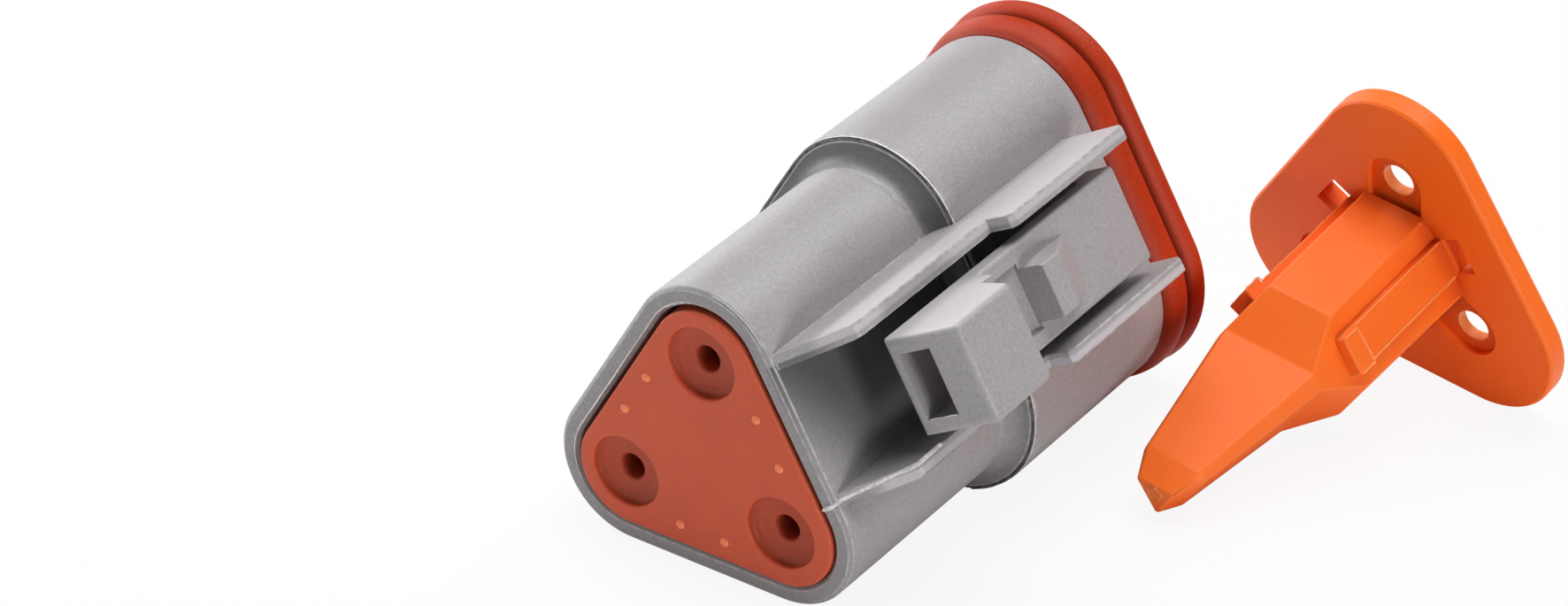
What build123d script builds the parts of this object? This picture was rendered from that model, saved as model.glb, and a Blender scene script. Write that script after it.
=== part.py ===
from build123d import *
import math
import os

# A three-way sealed plug lying level, with its loose wedge lock beside it. Millimetres.
# +Y points to the mating face, Z is up, and Y 0 is the wire end's rim on the plug's axis.
# The section is three round lobes joined by flats, one lobe up. The latch sits on the flat at 30 degrees.

# Section and stations along the axis
LOBES = (90, 210, 330)
FLATS = (30, 150, 270)
LOBE_C = 6.37          # plug axis to a lobe's own axis
REAR_R = 5.00          # lobe radius of the rear body
FRONT_R = 6.60         # lobe radius at the seal
DRAFT = 0.08           # the front body is this much narrower at the step
STEP_R = FRONT_R - DRAFT
NOSE_R = 4.98          # lobe radius of the nose under the front seal
STEP_Y = 17.40
SHOULDER_Y = 32.55     # the seal's back rests here
NOSE_Y = 37.40         # front face of the nose
COVE_R = 1.35          # hollow rounding from the rear body up to the step
RIM_CHAMFER = 0.32
END_CHAMFER = 0.25

# Contacts
PITCH_R = 6.466        # contact axes to the plug's axis, 11.2 mm from each other
CONTACT_R = 1.755      # contact opening in the front cavity
CHAMBER_R = 1.50       # contact chamber behind the cavity's floor
WIRE_R = 0.80          # wire hole in the rear seal, relaxed

# Front cavity, which takes the wedge lock and the contacts' noses
HEX_A = 4.75           # middle hexagon, centre to flat
STAR_Y = 22.80         # floor of the star shaped part
NOTCH_HALF, NOTCH_OUT = 0.86, 9.24
SLOT_HALF, SLOT_OUT = 1.55, 5.94
RECESS_HALF, RECESS_IN, RECESS_OUT, RECESS_D = 1.87, 5.60, 7.05, 0.35
TIP_POCKET_Y = 11.00   # floor of the pocket for the wedge's tip
TIP_POCKET = ((STAR_Y + 0.5, 2.75, 4.62), (13.4, 1.95, 2.85), (TIP_POCKET_Y, 1.15, 1.85))

# Rear seal and the pocket that holds it
POCKET_R = 3.74        # lobe radius of the pocket, so the wall is 1.26
POCKET_Y = 8.20
SEAL_GAP = 0.17        # round the seal's face
SEAL_FACE_Y = -0.20     # the face stands a little proud of the wire end's rim
SEAL_RIBS = ((2.6, 0.55), (5.6, 0.55))
DISH_R, DISH_STEP_R, DISH_D = 2.40, 1.62, 0.72
DOT_R, DOT_H, DOT_N, DOT_T = 0.26, 0.17, 5.45, 1.60

# Front seal, as lobe radii
RIB_REAR_R, RIB_REAR_Y = 7.16, 34.20
RIB_FRONT_R, RIB_FRONT_Y = 7.33, 36.12
VALLEY_R = 6.56        # bottom of the groove between the ribs
LIP_R, LIP_Y = 5.88, 37.08
RIB_DROP = 0.80        # from the front rib's crest down to the lip's root

# Guard rails beside the latch: n is the height from the plug's axis along the latch face's normal
RAIL_IN, RAIL_T = 4.06, 0.90
RAIL_HIGH, RAIL_LOW = 14.65, 12.62
RAIL_NOTCH_Y, RAIL_FRONT_Y = 16.87, 29.75
RAIL_SLANT_Y, RAIL_FOOT_Y = 3.03, 0.47
SOFT = 0.14            # rounding of the rails' and the catch's upper edges

# Latch lever
ARM_HALF = 3.15
ARM_UNDER, ARM_T = 12.70, 1.32
ARM_TOP = ARM_UNDER + ARM_T
LEG_FRONT_Y, LEG_T = 28.05, 1.80
LEG_BACK_Y = LEG_FRONT_Y - LEG_T
ROOT_N = 10.80         # the lever's flexing root, on top of the housing's pedestal
PEDESTAL_FILLET = 0.95
PAD_REAR_Y, PAD_H = 4.40, 4.44
PAD_TOP = ARM_TOP + PAD_H
PAD_TOP_Y, PAD_FOOT_Y = 10.20, 11.35
BAR_H, BAR_Y, BAR_FOOT_Y = 1.68, 12.05, 12.62
BAR_N = ARM_TOP + BAR_H
TUNNEL_HALF, TUNNEL_H, FLOOR_T = 2.15, 2.34, 0.85
TUNNEL_FLOOR = ARM_UNDER + FLOOR_T
TUNNEL_ROOF = TUNNEL_FLOOR + TUNNEL_H
CATCH_HALF, CATCH_H = 1.76, 1.85
CATCH_TOP = ARM_TOP + CATCH_H
CATCH_BACK_Y, CATCH_CREST_Y, CATCH_TOE_Y = 16.22, 17.93, 21.20

# Wedge lock in its own frame: plate from Y 0 forward, blade backward
PLATE_C, PLATE_R, PLATE_T = 7.23, 5.57, 1.66
PIN_R, FUNNEL_R, FUNNEL_D = 1.15, 1.90, 0.60
DIMPLE_R, DIMPLE_D, DIMPLE_IN = 2.00, 0.45, 3.00   # hollow round each pin hole, open towards the blade
BLADE = ((0.0, 4.63, 4.27), (-9.94, 4.46, 4.25), (-13.22, 2.64, 4.25), (-22.86, 1.57, 2.48), (-24.85, 0.85, 1.50))
STRIP_HALF, STRIP_OUT, STRIP_Y = 1.31, 4.76, -10.60
HOOK_OUT, HOOK_Y = 5.14, -9.20
WINDOW_HALF, WINDOW_IN, WINDOW_OUT = STRIP_HALF, STRIP_OUT, 6.28
WEDGE_X, WEDGE_Y, WEDGE_YAW, WEDGE_ROLL = 21.45, 45.22, -7.54, 4.66


def polar(radius, degrees, y=0.0):
    """Point at a distance and angle round the plug's axis."""
    a = math.radians(degrees)
    return Vector(radius * math.cos(a), y, radius * math.sin(a))


def flat_of(lobe_radius, centre=LOBE_C):
    """Distance from the axis to a flat of the three lobed section."""
    return centre / 2 + lobe_radius


def face_of(start, *steps):
    """Face in the XY plane: each step is a point, or a pair (middle, end) for an arc."""
    here, edges = Vector(*start), []
    for step in steps:
        if isinstance(step[0], tuple):
            mid, end = Vector(*step[0]), Vector(*step[1])
            edges.append(Edge.make_three_point_arc(here, mid, end))
        else:
            end = Vector(*step)
            edges.append(Edge.make_line(here, end))
        here = end
    if (here - Vector(*start)).length > 1e-6:
        edges.append(Edge.make_line(here, Vector(*start)))
    return Face(Wire(edges))


def lobed(profile, y0=None, y1=None, centre=LOBE_C):
    """Carries a profile (x out from a lobe's axis, y along the plug) round all three lobes and flats.
    With y0 and y1 the middle between the lobes is filled as well."""
    pieces = []
    for k in LOBES:
        for a in (k - 60, k + 60):
            r = math.radians(a)
            out, turn = (math.cos(r), 0, math.sin(r)), (-math.sin(r), 0, math.cos(r))
            f = Plane(origin=polar(centre, k), x_dir=out, z_dir=turn).location * profile
            if a < k:
                pieces.append(Solid.revolve(f, 120, Axis(polar(centre, k), (0, -1, 0))))
            else:
                pieces.append(Solid.extrude(f, polar(centre, k + 120) - polar(centre, k)))
    if y0 is not None:
        pieces.append(prism([polar(centre, k, y0) for k in LOBES], y1 - y0))
    return pieces[0].fuse(*pieces[1:]).clean()


def prism(points, length):
    """Straight prism along Y from a closed ring of points."""
    return Solid.extrude(Face(Wire.make_polygon(points, close=True)), Vector(0, length, 0))


def turned_box(degrees, low, high, half, y0, y1):
    """Box along Y whose radial span and half width are given at an angle round the axis."""
    r = math.radians(degrees)
    out, side = Vector(math.cos(r), 0, math.sin(r)), Vector(-math.sin(r), 0, math.cos(r))
    ring = [out * n + side * t + Vector(0, y0, 0) for n, t in ((low, -half), (high, -half), (high, half), (low, half))]
    return prism(ring, y1 - y0)


def side_plate(points, t0, t1, degrees=30):
    """Plate with its outline in the (y, n) plane, from side offset t0 to t1 on the flat at that angle."""
    r = math.radians(degrees)
    out, side = (math.cos(r), 0, math.sin(r)), (-math.sin(r), 0, math.cos(r))
    pl = Plane(origin=Vector(*side) * t0, x_dir=(0, 1, 0), z_dir=Vector(0, 1, 0).cross(Vector(*out)))
    face = pl.location * face_of(*points)
    return Solid.extrude(face, Vector(*side) * (t1 - t0))


def rod(radius, degrees, y0, y1, reach=PITCH_R):
    """Cylinder along Y at a contact position."""
    return Solid.make_cylinder(radius, y1 - y0, Plane(origin=polar(reach, degrees, y0), z_dir=(0, 1, 0)))


def hexagon(y, lobe_side, flat_side):
    """Six sided ring: one distance to the sides that face the lobes, one to those that face the flats."""
    ring = []
    for k in range(6):
        a, b = 30 + 60 * k, 90 + 60 * k
        da, db = (flat_side, lobe_side) if k % 2 == 0 else (lobe_side, flat_side)
        ua, ub = polar(1, a), polar(1, b)
        det = ua.X * ub.Z - ua.Z * ub.X
        ring.append(Vector((da * ub.Z - db * ua.Z) / det, y, (ua.X * db - ub.X * da) / det))
    return Wire.make_polygon(ring, close=True)


def tapered(stations):
    """Stack of straight sided hexagonal lengths, one between each pair of stations."""
    parts = [Solid.make_loft([hexagon(*a), hexagon(*b)], True) for a, b in zip(stations, stations[1:])]
    return parts[0].fuse(*parts[1:]) if len(parts) > 1 else parts[0]


def housing_skin():
    """Outer form: chamfered wire end, rear body, hollow cove, thin rim, drafted front body, shoulder, nose."""
    s, c = STEP_Y, COVE_R
    k = c * (1 - math.sqrt(0.5))
    step_in = STEP_R - RIM_CHAMFER
    cove_r0 = step_in - c
    return lobed(face_of((0, 0), (REAR_R - END_CHAMFER, 0), (REAR_R, END_CHAMFER), (REAR_R + 0.04, s - c - 0.3),
                         (cove_r0, s - c), ((cove_r0 + k, s - k), (step_in, s)), (STEP_R, s + RIM_CHAMFER),
                         (FRONT_R - 0.06, SHOULDER_Y - 0.14), (FRONT_R - 0.14, SHOULDER_Y), (NOSE_R, SHOULDER_Y),
                         (NOSE_R, NOSE_Y - 0.2), (NOSE_R - 0.2, NOSE_Y), (0, NOSE_Y)), 0, NOSE_Y)


def front_cavity():
    """Star shaped mouth: hexagon, three contact lobes with outer notches, three stepped slots, tip pocket."""
    top = NOSE_Y + 1
    hole = prism([Vector(v.X, STAR_Y, v.Z) for v in hexagon(0, HEX_A, HEX_A).vertices()], top - STAR_Y)
    cuts = []
    for k in LOBES:
        cuts.append(turned_box(k, 2, PITCH_R, CONTACT_R, STAR_Y, top))
        cuts.append(rod(CONTACT_R, k, STAR_Y, top))
        cuts.append(rod(CHAMBER_R, k, POCKET_Y - 0.5, STAR_Y + 0.5))
        cuts.append(turned_box(k, 5, NOTCH_OUT, NOTCH_HALF, STAR_Y + 3, top))
    for k in FLATS:
        cuts.append(turned_box(k, 3, SLOT_OUT, SLOT_HALF, STAR_Y + 2, top))
        cuts.append(turned_box(k, RECESS_IN, RECESS_OUT, RECESS_HALF, NOSE_Y - RECESS_D, top))
    cuts.append(tapered(TIP_POCKET))
    return hole.fuse(*cuts)


def rail(sign):
    """Guard rail: low rear length with a slanted end, a notch, then the high length with a blunt front."""
    low, high, tip = RAIL_LOW, RAIL_HIGH, 0.35
    foot = flat_of(REAR_R) - 0.6
    pts = [(RAIL_FOOT_Y, foot), (RAIL_FOOT_Y, flat_of(REAR_R) + 0.1), (RAIL_SLANT_Y, low - 0.1), (RAIL_SLANT_Y + 0.25, low),
           (RAIL_NOTCH_Y + 0.08, low), (RAIL_NOTCH_Y, high - tip), (RAIL_NOTCH_Y + tip, high),
           (RAIL_FRONT_Y - tip, high), (RAIL_FRONT_Y, high - tip), (RAIL_FRONT_Y - 0.3, foot)]
    a, b = sorted((sign * RAIL_IN, sign * (RAIL_IN + RAIL_T)))
    return soften(side_plate(pts, a, b), low - 0.2)


def soften(plate, above, degrees=30):
    """Rounds the edges of a latch side plate that lie above a height and aren't parallel to its thickness."""
    r = math.radians(degrees)
    out, side = Vector(math.cos(r), 0, math.sin(r)), Vector(-math.sin(r), 0, math.cos(r))
    picked = [e for e in plate.edges() if e.center().dot(out) > above and abs((e % 0.5).dot(side)) < 0.5]
    return plate.fillet(SOFT, picked)


def pedestal():
    """Raised root that the latch lever springs from, with a hollow fillet in front."""
    base, r = flat_of(FRONT_R) - 0.7, PEDESTAL_FILLET
    top, y = ROOT_N, LEG_FRONT_Y
    low = flat_of(STEP_R + (FRONT_R - STEP_R) * 0.75)
    k = r * (1 - math.sqrt(0.5))
    return side_plate([(LEG_BACK_Y, base), (LEG_BACK_Y, top), (y, top), (y, low + r), ((y + k, low + k), (y + r, low)),
                       (y + r, base)], -ARM_HALF, ARM_HALF)


def housing():
    body = housing_skin().fuse(rail(1), rail(-1), pedestal())
    pocket = lobed(face_of((0, -1), (POCKET_R + 0.25, -1), (POCKET_R + 0.25, 0), (POCKET_R, 0.25), (POCKET_R, POCKET_Y),
                           (0, POCKET_Y)), -1, POCKET_Y)
    return body.cut(pocket, front_cavity()).clean()


def front_seal():
    """Interface seal: flat back on the shoulder, two round ribs, then a lower lip round the nose."""
    a, b = RIB_REAR_Y, RIB_FRONT_Y
    g = VALLEY_R
    return lobed(face_of((NOSE_R, SHOULDER_Y), (FRONT_R - 0.2, SHOULDER_Y), (FRONT_R, SHOULDER_Y + 0.2),
                         ((RIB_REAR_R - 0.15, a - 0.72), (RIB_REAR_R, a)), ((RIB_REAR_R - 0.15, a + 0.40), (g + 0.12, a + 0.74)),
                         ((g, a + 0.84), (g + 0.12, a + 0.94)), ((RIB_FRONT_R - 0.16, b - 0.44), (RIB_FRONT_R, b)),
                         ((RIB_FRONT_R - 0.22, b + 0.42), (RIB_FRONT_R - RIB_DROP, b + 0.60)), (LIP_R + 0.34, b + 0.62),
                         ((LIP_R + 0.07, b + 0.67), (LIP_R, b + 0.80)),
                         ((LIP_R - 0.10, LIP_Y - 0.08), (LIP_R - 0.36, LIP_Y)), (NOSE_R, LIP_Y)))


def wire_grommet():
    """Rear seal: two sealing ribs on the pocket wall, a flat face with three dished wire entries and six dots."""
    r, f = POCKET_R - SEAL_GAP, SEAL_FACE_Y
    (y1, h1), (y2, h2) = SEAL_RIBS
    pts = [(0, f), (r - 0.2, f), ((r - 0.06, f + 0.06), (r, f + 0.2))]
    for y, h in SEAL_RIBS:
        pts += [(r, y - h), (POCKET_R, y - 0.2), (POCKET_R, y + 0.2), (r, y + h)]
    pts += [(r, POCKET_Y - 0.3), (r - 0.3, POCKET_Y), (0, POCKET_Y)]
    plug = lobed(face_of(*pts), f, POCKET_Y)
    bits = []
    for k in LOBES:
        dish = face_of((0, f - 1), (DISH_R + 0.2, f - 1), (DISH_R + 0.2, f), ((DISH_R + 0.02, f + 0.06), (DISH_R - 0.06, f + 0.24)),
                       ((DISH_R - 0.25, f + 0.44), (DISH_STEP_R + 0.1, f + 0.52)), (DISH_STEP_R, f + DISH_D),
                       (WIRE_R + 0.22, f + DISH_D), ((WIRE_R + 0.07, f + DISH_D + 0.07), (WIRE_R, f + DISH_D + 0.25)),
                       (WIRE_R, POCKET_Y + 1), (0, POCKET_Y + 1))
        placed = Plane(origin=polar(PITCH_R, k), x_dir=(1, 0, 0), z_dir=(0, 0, 1)).location * dish
        bits.append(Solid.revolve(placed, 360, Axis(polar(PITCH_R, k), (0, 1, 0))))
    plug = plug.cut(*bits)
    dots = []
    for k in FLATS:
        r0 = math.radians(k)
        out, side = Vector(math.cos(r0), 0, math.sin(r0)), Vector(-math.sin(r0), 0, math.cos(r0))
        for s in (-1, 1):
            at = out * DOT_N + side * (s * DOT_T) + Vector(0, f + DOT_R - DOT_H, 0)
            dots.append(Solid.make_sphere(DOT_R, Plane(origin=at), -90, 90, 360))
    return plug.fuse(*dots).clean()


def latch_lever():
    """Spring lever: leg, long arm, sloped catch, channel, and a hollow thumb pad that the channel runs through."""
    r = 0.55
    k = r * (1 - math.sqrt(0.5))
    q = 0.9
    j = q * (1 - math.sqrt(0.5))
    arm = side_plate([(PAD_REAR_Y, ARM_UNDER), (PAD_REAR_Y, PAD_TOP), (PAD_TOP_Y - 0.5, PAD_TOP),
                      ((PAD_TOP_Y + 0.05, PAD_TOP - 0.22), (PAD_TOP_Y + 0.35, PAD_TOP - 0.75)),
                      (PAD_FOOT_Y, BAR_N), (BAR_Y, BAR_N), (BAR_FOOT_Y, ARM_TOP), (LEG_FRONT_Y - r, ARM_TOP),
                      ((LEG_FRONT_Y - k, ARM_TOP - k), (LEG_FRONT_Y, ARM_TOP - r)), (LEG_FRONT_Y, ROOT_N), (LEG_BACK_Y, ROOT_N),
                      (LEG_BACK_Y, ARM_UNDER - q), ((LEG_BACK_Y - j, ARM_UNDER - j), (LEG_BACK_Y - q, ARM_UNDER))],
                     -ARM_HALF, ARM_HALF)
    arm = round_long_edges(arm)
    channel = side_plate([(PAD_REAR_Y - 1, TUNNEL_FLOOR), (CATCH_BACK_Y - 0.2, TUNNEL_FLOOR), (CATCH_BACK_Y, TUNNEL_FLOOR + 0.2),
                          (CATCH_BACK_Y, PAD_TOP), (PAD_FOOT_Y - 0.1, PAD_TOP), (PAD_FOOT_Y - 0.1, TUNNEL_ROOF),
                          (PAD_REAR_Y - 1, TUNNEL_ROOF)], -TUNNEL_HALF, TUNNEL_HALF)
    catch = side_plate([(CATCH_BACK_Y - 0.01, ARM_TOP - 0.95), (CATCH_BACK_Y - 0.01, CATCH_TOP - 0.12), (CATCH_BACK_Y + 0.12, CATCH_TOP),
                        (CATCH_CREST_Y, CATCH_TOP), (CATCH_TOE_Y, ARM_TOP), (CATCH_TOE_Y, ARM_TOP - 0.95)],
                       -CATCH_HALF, CATCH_HALF)
    return arm.cut(channel).fuse(soften(catch, ARM_TOP + 0.5)).clean()


def round_long_edges(arm):
    """Rounds the pad's outer corners and eases the arm's long top edges down to the leg."""
    r = math.radians(30)
    out, side = Vector(math.cos(r), 0, math.sin(r)), Vector(-math.sin(r), 0, math.cos(r))
    big, small = [], []
    for e in arm.edges():
        c = e.center()
        n, t = c.dot(out), abs(c.dot(side))
        rear = c.Y < PAD_REAR_Y + 0.01
        if rear or (n > BAR_N + 0.2 and t > ARM_HALF - 0.01):
            big.append(e)
        elif t > ARM_HALF - 0.01 and abs(n - ARM_TOP) < 0.01:
            small.append(e)
    arm = arm.fillet(0.28, small)
    big = [e for e in arm.edges() if any((e.center() - b.center()).length < 1e-3 for b in big)]
    return arm.fillet(0.45, big)


def wedge_lock():
    """Loose wedge: three lobed plate with funnelled pin holes, hollows and windows, hexagonal blade with hooked strips."""
    plate = lobed(face_of((0, 0), (PLATE_R - 0.18, 0), (PLATE_R, 0.18), (PLATE_R, PLATE_T - 0.25), (PLATE_R - 0.25, PLATE_T),
                          (0, PLATE_T)), 0, PLATE_T, PLATE_C)
    hollows, adds, cuts = [], [tapered(BLADE)], []
    for k in LOBES:
        hollows += [rod(DIMPLE_R, k, -1, DIMPLE_D), turned_box(k, DIMPLE_IN, PITCH_R, DIMPLE_R, -1, DIMPLE_D)]
        cuts.append(rod(PIN_R, k, -1, PLATE_T + 1))
        cuts.append(Solid.make_cone(FUNNEL_R, PIN_R, FUNNEL_D, Plane(origin=polar(PITCH_R, k, PLATE_T), z_dir=(0, -1, 0))))
    for k in FLATS:
        adds.append(turned_box(k, 3, STRIP_OUT, STRIP_HALF, STRIP_Y, 0))
        adds.append(turned_box(k, 3, HOOK_OUT, STRIP_HALF, STRIP_Y, HOOK_Y))
        cuts.append(turned_box(k, WINDOW_IN, WINDOW_OUT, WINDOW_HALF, -0.5, PLATE_T + 1))
    return plate.cut(*hollows).fuse(*adds).cut(*cuts).clean()


def wedge_place():
    """Where the loose wedge lies: on the plane that the plug's wire end and front rib rest on, rolled a little
    towards one lobe of its plate, with the blade's underside down on the same plane."""
    y0, y1 = END_CHAMFER, RIB_FRONT_Y
    z0, z1 = -flat_of(REAR_R), -flat_of(RIB_FRONT_R)
    tilt, roll = math.degrees(math.atan2(z0 - z1, y1 - y0)), math.radians(WEDGE_ROLL)
    rest = PLATE_C * math.cos(math.radians(60) - roll) + PLATE_R
    low = [(-y, b * math.cos(roll) + (a - b / 2) / math.sin(math.radians(60)) * math.sin(roll)) for y, a, b in BLADE[3:]]
    pitch = min(math.degrees(math.atan2(rest - under, reach)) for reach, under in low)
    lift = rest * math.cos(math.radians(pitch))
    drop = -(WEDGE_Y - y0) * math.tan(math.radians(tilt))
    z = z0 + drop + lift / math.cos(math.radians(tilt))
    turn = Rotation(-tilt, 0, 0) * Rotation(0, 0, WEDGE_YAW) * Rotation(pitch, 0, 0) * Rotation(0, WEDGE_ROLL, 0)
    return Location((WEDGE_X, WEDGE_Y, z)) * turn


def main():
    os.makedirs("parts", exist_ok=True)
    parts = {"housing": housing(), "front_seal": front_seal(), "wire_grommet": wire_grommet(),
             "latch_lever": latch_lever(), "wedge_lock": wedge_place() * wedge_lock()}
    for name, shape in parts.items():
        export_step(shape, f"parts/{name}.step")
        box = shape.bounding_box()
        print(name, "solids", len(shape.solids()), "volume", round(shape.volume, 1),
              "box", [round(v, 2) for v in (*box.min, *box.max)])


main()
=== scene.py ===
# %% [markdown]
# # A sealed connector plug and its wedge lock
# This is a small plug for three wires, of the kind that is used where it gets wet and dirty. Its housing is
# grey plastic, two orange silicone seals keep the water out, and the bright orange wedge beside it is
# pushed in from the front at the end, to lock the contacts in place.
#
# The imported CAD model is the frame. Everything made here sits in that frame, in metres, and rides on its
# bodies. The plug's axis runs along Y, with the wire end at Y 0 and the mating face at +Y, and Z is up. The
# wedge lies beside the plug, as it does before it is pushed in. Sizes are written in millimetres, and MM
# turns them into metres where they enter a mesh or a shader.

# %% Load the frame and keep its box
import math
import bpy
import bmesh
import numpy as np
from mathutils import Matrix, Vector


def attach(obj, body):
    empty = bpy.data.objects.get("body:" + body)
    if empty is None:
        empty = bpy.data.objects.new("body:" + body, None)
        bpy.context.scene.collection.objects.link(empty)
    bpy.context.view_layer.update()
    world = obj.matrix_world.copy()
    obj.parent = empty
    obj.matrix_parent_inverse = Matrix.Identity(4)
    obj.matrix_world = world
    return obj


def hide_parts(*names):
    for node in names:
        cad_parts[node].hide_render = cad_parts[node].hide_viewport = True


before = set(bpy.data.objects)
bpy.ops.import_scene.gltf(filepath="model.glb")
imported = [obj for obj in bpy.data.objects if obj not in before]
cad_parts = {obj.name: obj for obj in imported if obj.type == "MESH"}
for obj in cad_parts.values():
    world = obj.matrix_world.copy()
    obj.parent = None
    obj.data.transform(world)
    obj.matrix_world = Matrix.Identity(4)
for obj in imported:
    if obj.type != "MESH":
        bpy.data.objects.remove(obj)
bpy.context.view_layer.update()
MM = 0.001
print("nodes", sorted(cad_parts))

# %% [markdown]
# ## Sizes that the pieces share
# The section of the plug is three round lobes joined by flats. A surface that follows it needs only the
# distance from the axis to a lobe's own centre, and a radius. The new pieces could measure the CAD's mesh
# for that, but a few repeated sizes are simpler, and they put the pieces on its surfaces. The latch is on
# the flat at 30 degrees, so two more directions are handy: straight out of that flat, and sideways along
# it.

# %% Shared sizes, in millimetres
LOBES = np.radians((90, 210, 330))  # where the three lobes point, counted from +X towards +Z
FLATS = (30, 150, 270)  # degrees: where the flats between them face
LOBE_C = 6.37  # from the plug's axis to a lobe's own centre
REAR_R = 5.00  # a lobe's radius on the rear body
FRONT_R = 6.60  # on the front body, at the seal
NOSE_R = 4.98  # on the nose, which carries the front seal
STEP_Y = 17.40  # the step from the rear body to the front body
SHOULDER_Y = 32.55  # the end of the front body, where the nose starts
HOLE_REACH = 6.466  # from the axis to each contact's own axis, so that these are 11.2 mm apart
AXIS = np.array((0.0, 1.0, 0.0))  # along the plug, towards the mating face
LATCH_OUT = np.array((math.cos(math.radians(30)), 0.0, 0.5))
LATCH_SIDE = np.array((-0.5, 0.0, math.cos(math.radians(30))))
print("flat of the rear body from the axis", LOBE_C / 2 + REAR_R, "mm")


def beside_latch(y, out, aside):
    """Point from its place y along the plug, how far it is from the axis out towards the latch, and how far
    aside: each of the three directions times its own number, added up."""
    y, out, aside = np.broadcast_arrays(np.asarray(y, float), out, aside)
    return LATCH_OUT * out[..., None] + LATCH_SIDE * aside[..., None] + AXIS * y[..., None]


def section_way(angle):
    """Direction at right angles to the plug's axis, for an angle from +X towards +Z: (cosine, 0, sine)."""
    return np.stack([np.cos(angle), 0 * angle, np.sin(angle)], -1)


# %% [markdown]
# ## Where the wedge lies
# The wedge was drawn standing by itself and then laid on the table, so it has its own frame: the plate
# starts at y 0 and the blade runs along -Y. Its details could be worked out in the plug's frame, but in its
# own they are plain numbers. One matrix takes a point of that frame to the plug's. Read from right to left
# it rolls the wedge on to one lobe of its plate, tips the blade down, turns it on the table, and follows
# the table's slope.

# %% The wedge's own frame
TABLE_FALL = 3.7165  # degrees that the table falls towards the mating face, seen in the plug's frame


def turned(degrees, axis):
    """Matrix that turns by an angle about one of the three axes."""
    return Matrix.Rotation(math.radians(degrees), 4, axis)


WEDGE = (Matrix.Translation((21.45, 45.22, -1.8497)) @ turned(-TABLE_FALL, "X") @ turned(-7.54, "Z")
         @ turned(17.434, "X") @ turned(4.66, "Y"))
WEDGE_TURN = np.array(WEDGE.to_3x3())
WEDGE_MOVE = np.array(WEDGE.translation)


def on_wedge(points):
    """Points of the wedge's own frame, turned and moved to where it lies: rotation times point, plus the
    move."""
    return np.asarray(points, float) @ WEDGE_TURN.T + WEDGE_MOVE


def own_place(points):
    """The way back to the wedge's own frame: the move taken off, then the turn undone."""
    return (points - WEDGE_MOVE) @ WEDGE_TURN


print("middle of the wedge's plate", np.round(on_wedge((0, 0.8, 0)), 2), "mm")

# %% [markdown]
# ## From a grid of points to a mesh
# Each new piece is a function of two parameters, worked out for the whole grid at once. Blender's own
# primitives could be bent into shape instead, but a formula is exact and easy to change. One helper turns a
# grid into faces: it joins each point to its neighbours, and can close the grid in either direction. A
# second helper welds what coincides, so that poles and seams are closed, and turns the faces outwards.

# %% Grid to mesh
WELD = 2e-7  # metres: points nearer to each other than this become one
TOO_SHORT = 1e-7  # metres: an edge shorter than this is taken out


def grid_faces(rows, cols, close_rows=False, close_cols=False):
    """Corner numbers of the quads between neighbouring points of a rows by cols grid."""
    i = np.arange(rows if close_rows else rows - 1)[:, None]
    j = np.arange(cols if close_cols else cols - 1)[None, :]
    i2, j2 = (i + 1) % rows, (j + 1) % cols
    return np.stack([i * cols + j, i * cols + j2, i2 * cols + j2, i2 * cols + j], -1).reshape(-1, 4)


def repeated_faces(times, rows, cols, close_cols=False):
    """Faces of several grids of one size, each closed in its rows, whose points follow each other."""
    once = grid_faces(rows, cols, True, close_cols)
    return (once[None] + rows * cols * np.arange(times)[:, None, None]).reshape(-1, 4)


def make_piece(name, points, faces, smooth=35.0):
    """Mesh object from points in millimetres and quads: doubles merged, faces turned outwards, shaded smooth
    except over edges sharper than the given angle."""
    mesh = bpy.data.meshes.new(name)
    mesh.from_pydata((np.asarray(points).reshape(-1, 3) * MM).tolist(), [], faces.tolist())
    bm = bmesh.new()
    bm.from_mesh(mesh)
    bmesh.ops.remove_doubles(bm, verts=bm.verts, dist=WELD)
    bmesh.ops.dissolve_degenerate(bm, dist=TOO_SHORT, edges=bm.edges)
    bmesh.ops.recalc_face_normals(bm, faces=bm.faces)
    bm.to_mesh(mesh)
    bm.free()
    mesh.polygons.foreach_set("use_smooth", np.ones(len(mesh.polygons), bool))
    mesh.set_sharp_from_angle(angle=math.radians(smooth))
    piece = bpy.data.objects.new(name, mesh)
    bpy.context.scene.collection.objects.link(piece)
    print(name, len(mesh.polygons), "faces")
    return piece


# %% [markdown]
# ## Finding the real edges of a CAD mesh
# The CAD solids arrive as triangles. Some of the lines between them are edges that the toolmaker cut, and
# others are only the steps of a rounded surface. The angle alone can't tell them apart, so two measures do:
# the angle between the two faces, and how wide each face is across the line. A step of a small rounding has
# a narrow face beside it. A real edge that points outwards later gets a bevel, and one in an inner corner
# stays crisp.

# %% Edge finder
NARROW = 0.12  # mm: a face less wide than this is a step of a small rounding
STEEP = 50  # degrees: an edge this sharp is real, whatever is beside it
TINY = 0.03  # square mm: a face smaller than this leaves no room for a bevel


def read(items, what, width=1, kind=float):
    """One property of all vertices, edges, corners or faces, as an array with a row for each of them."""
    values = np.empty(len(items) * width, kind)
    items.foreach_get(what, values)
    return values.reshape(-1, width) if width > 1 else values


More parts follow.
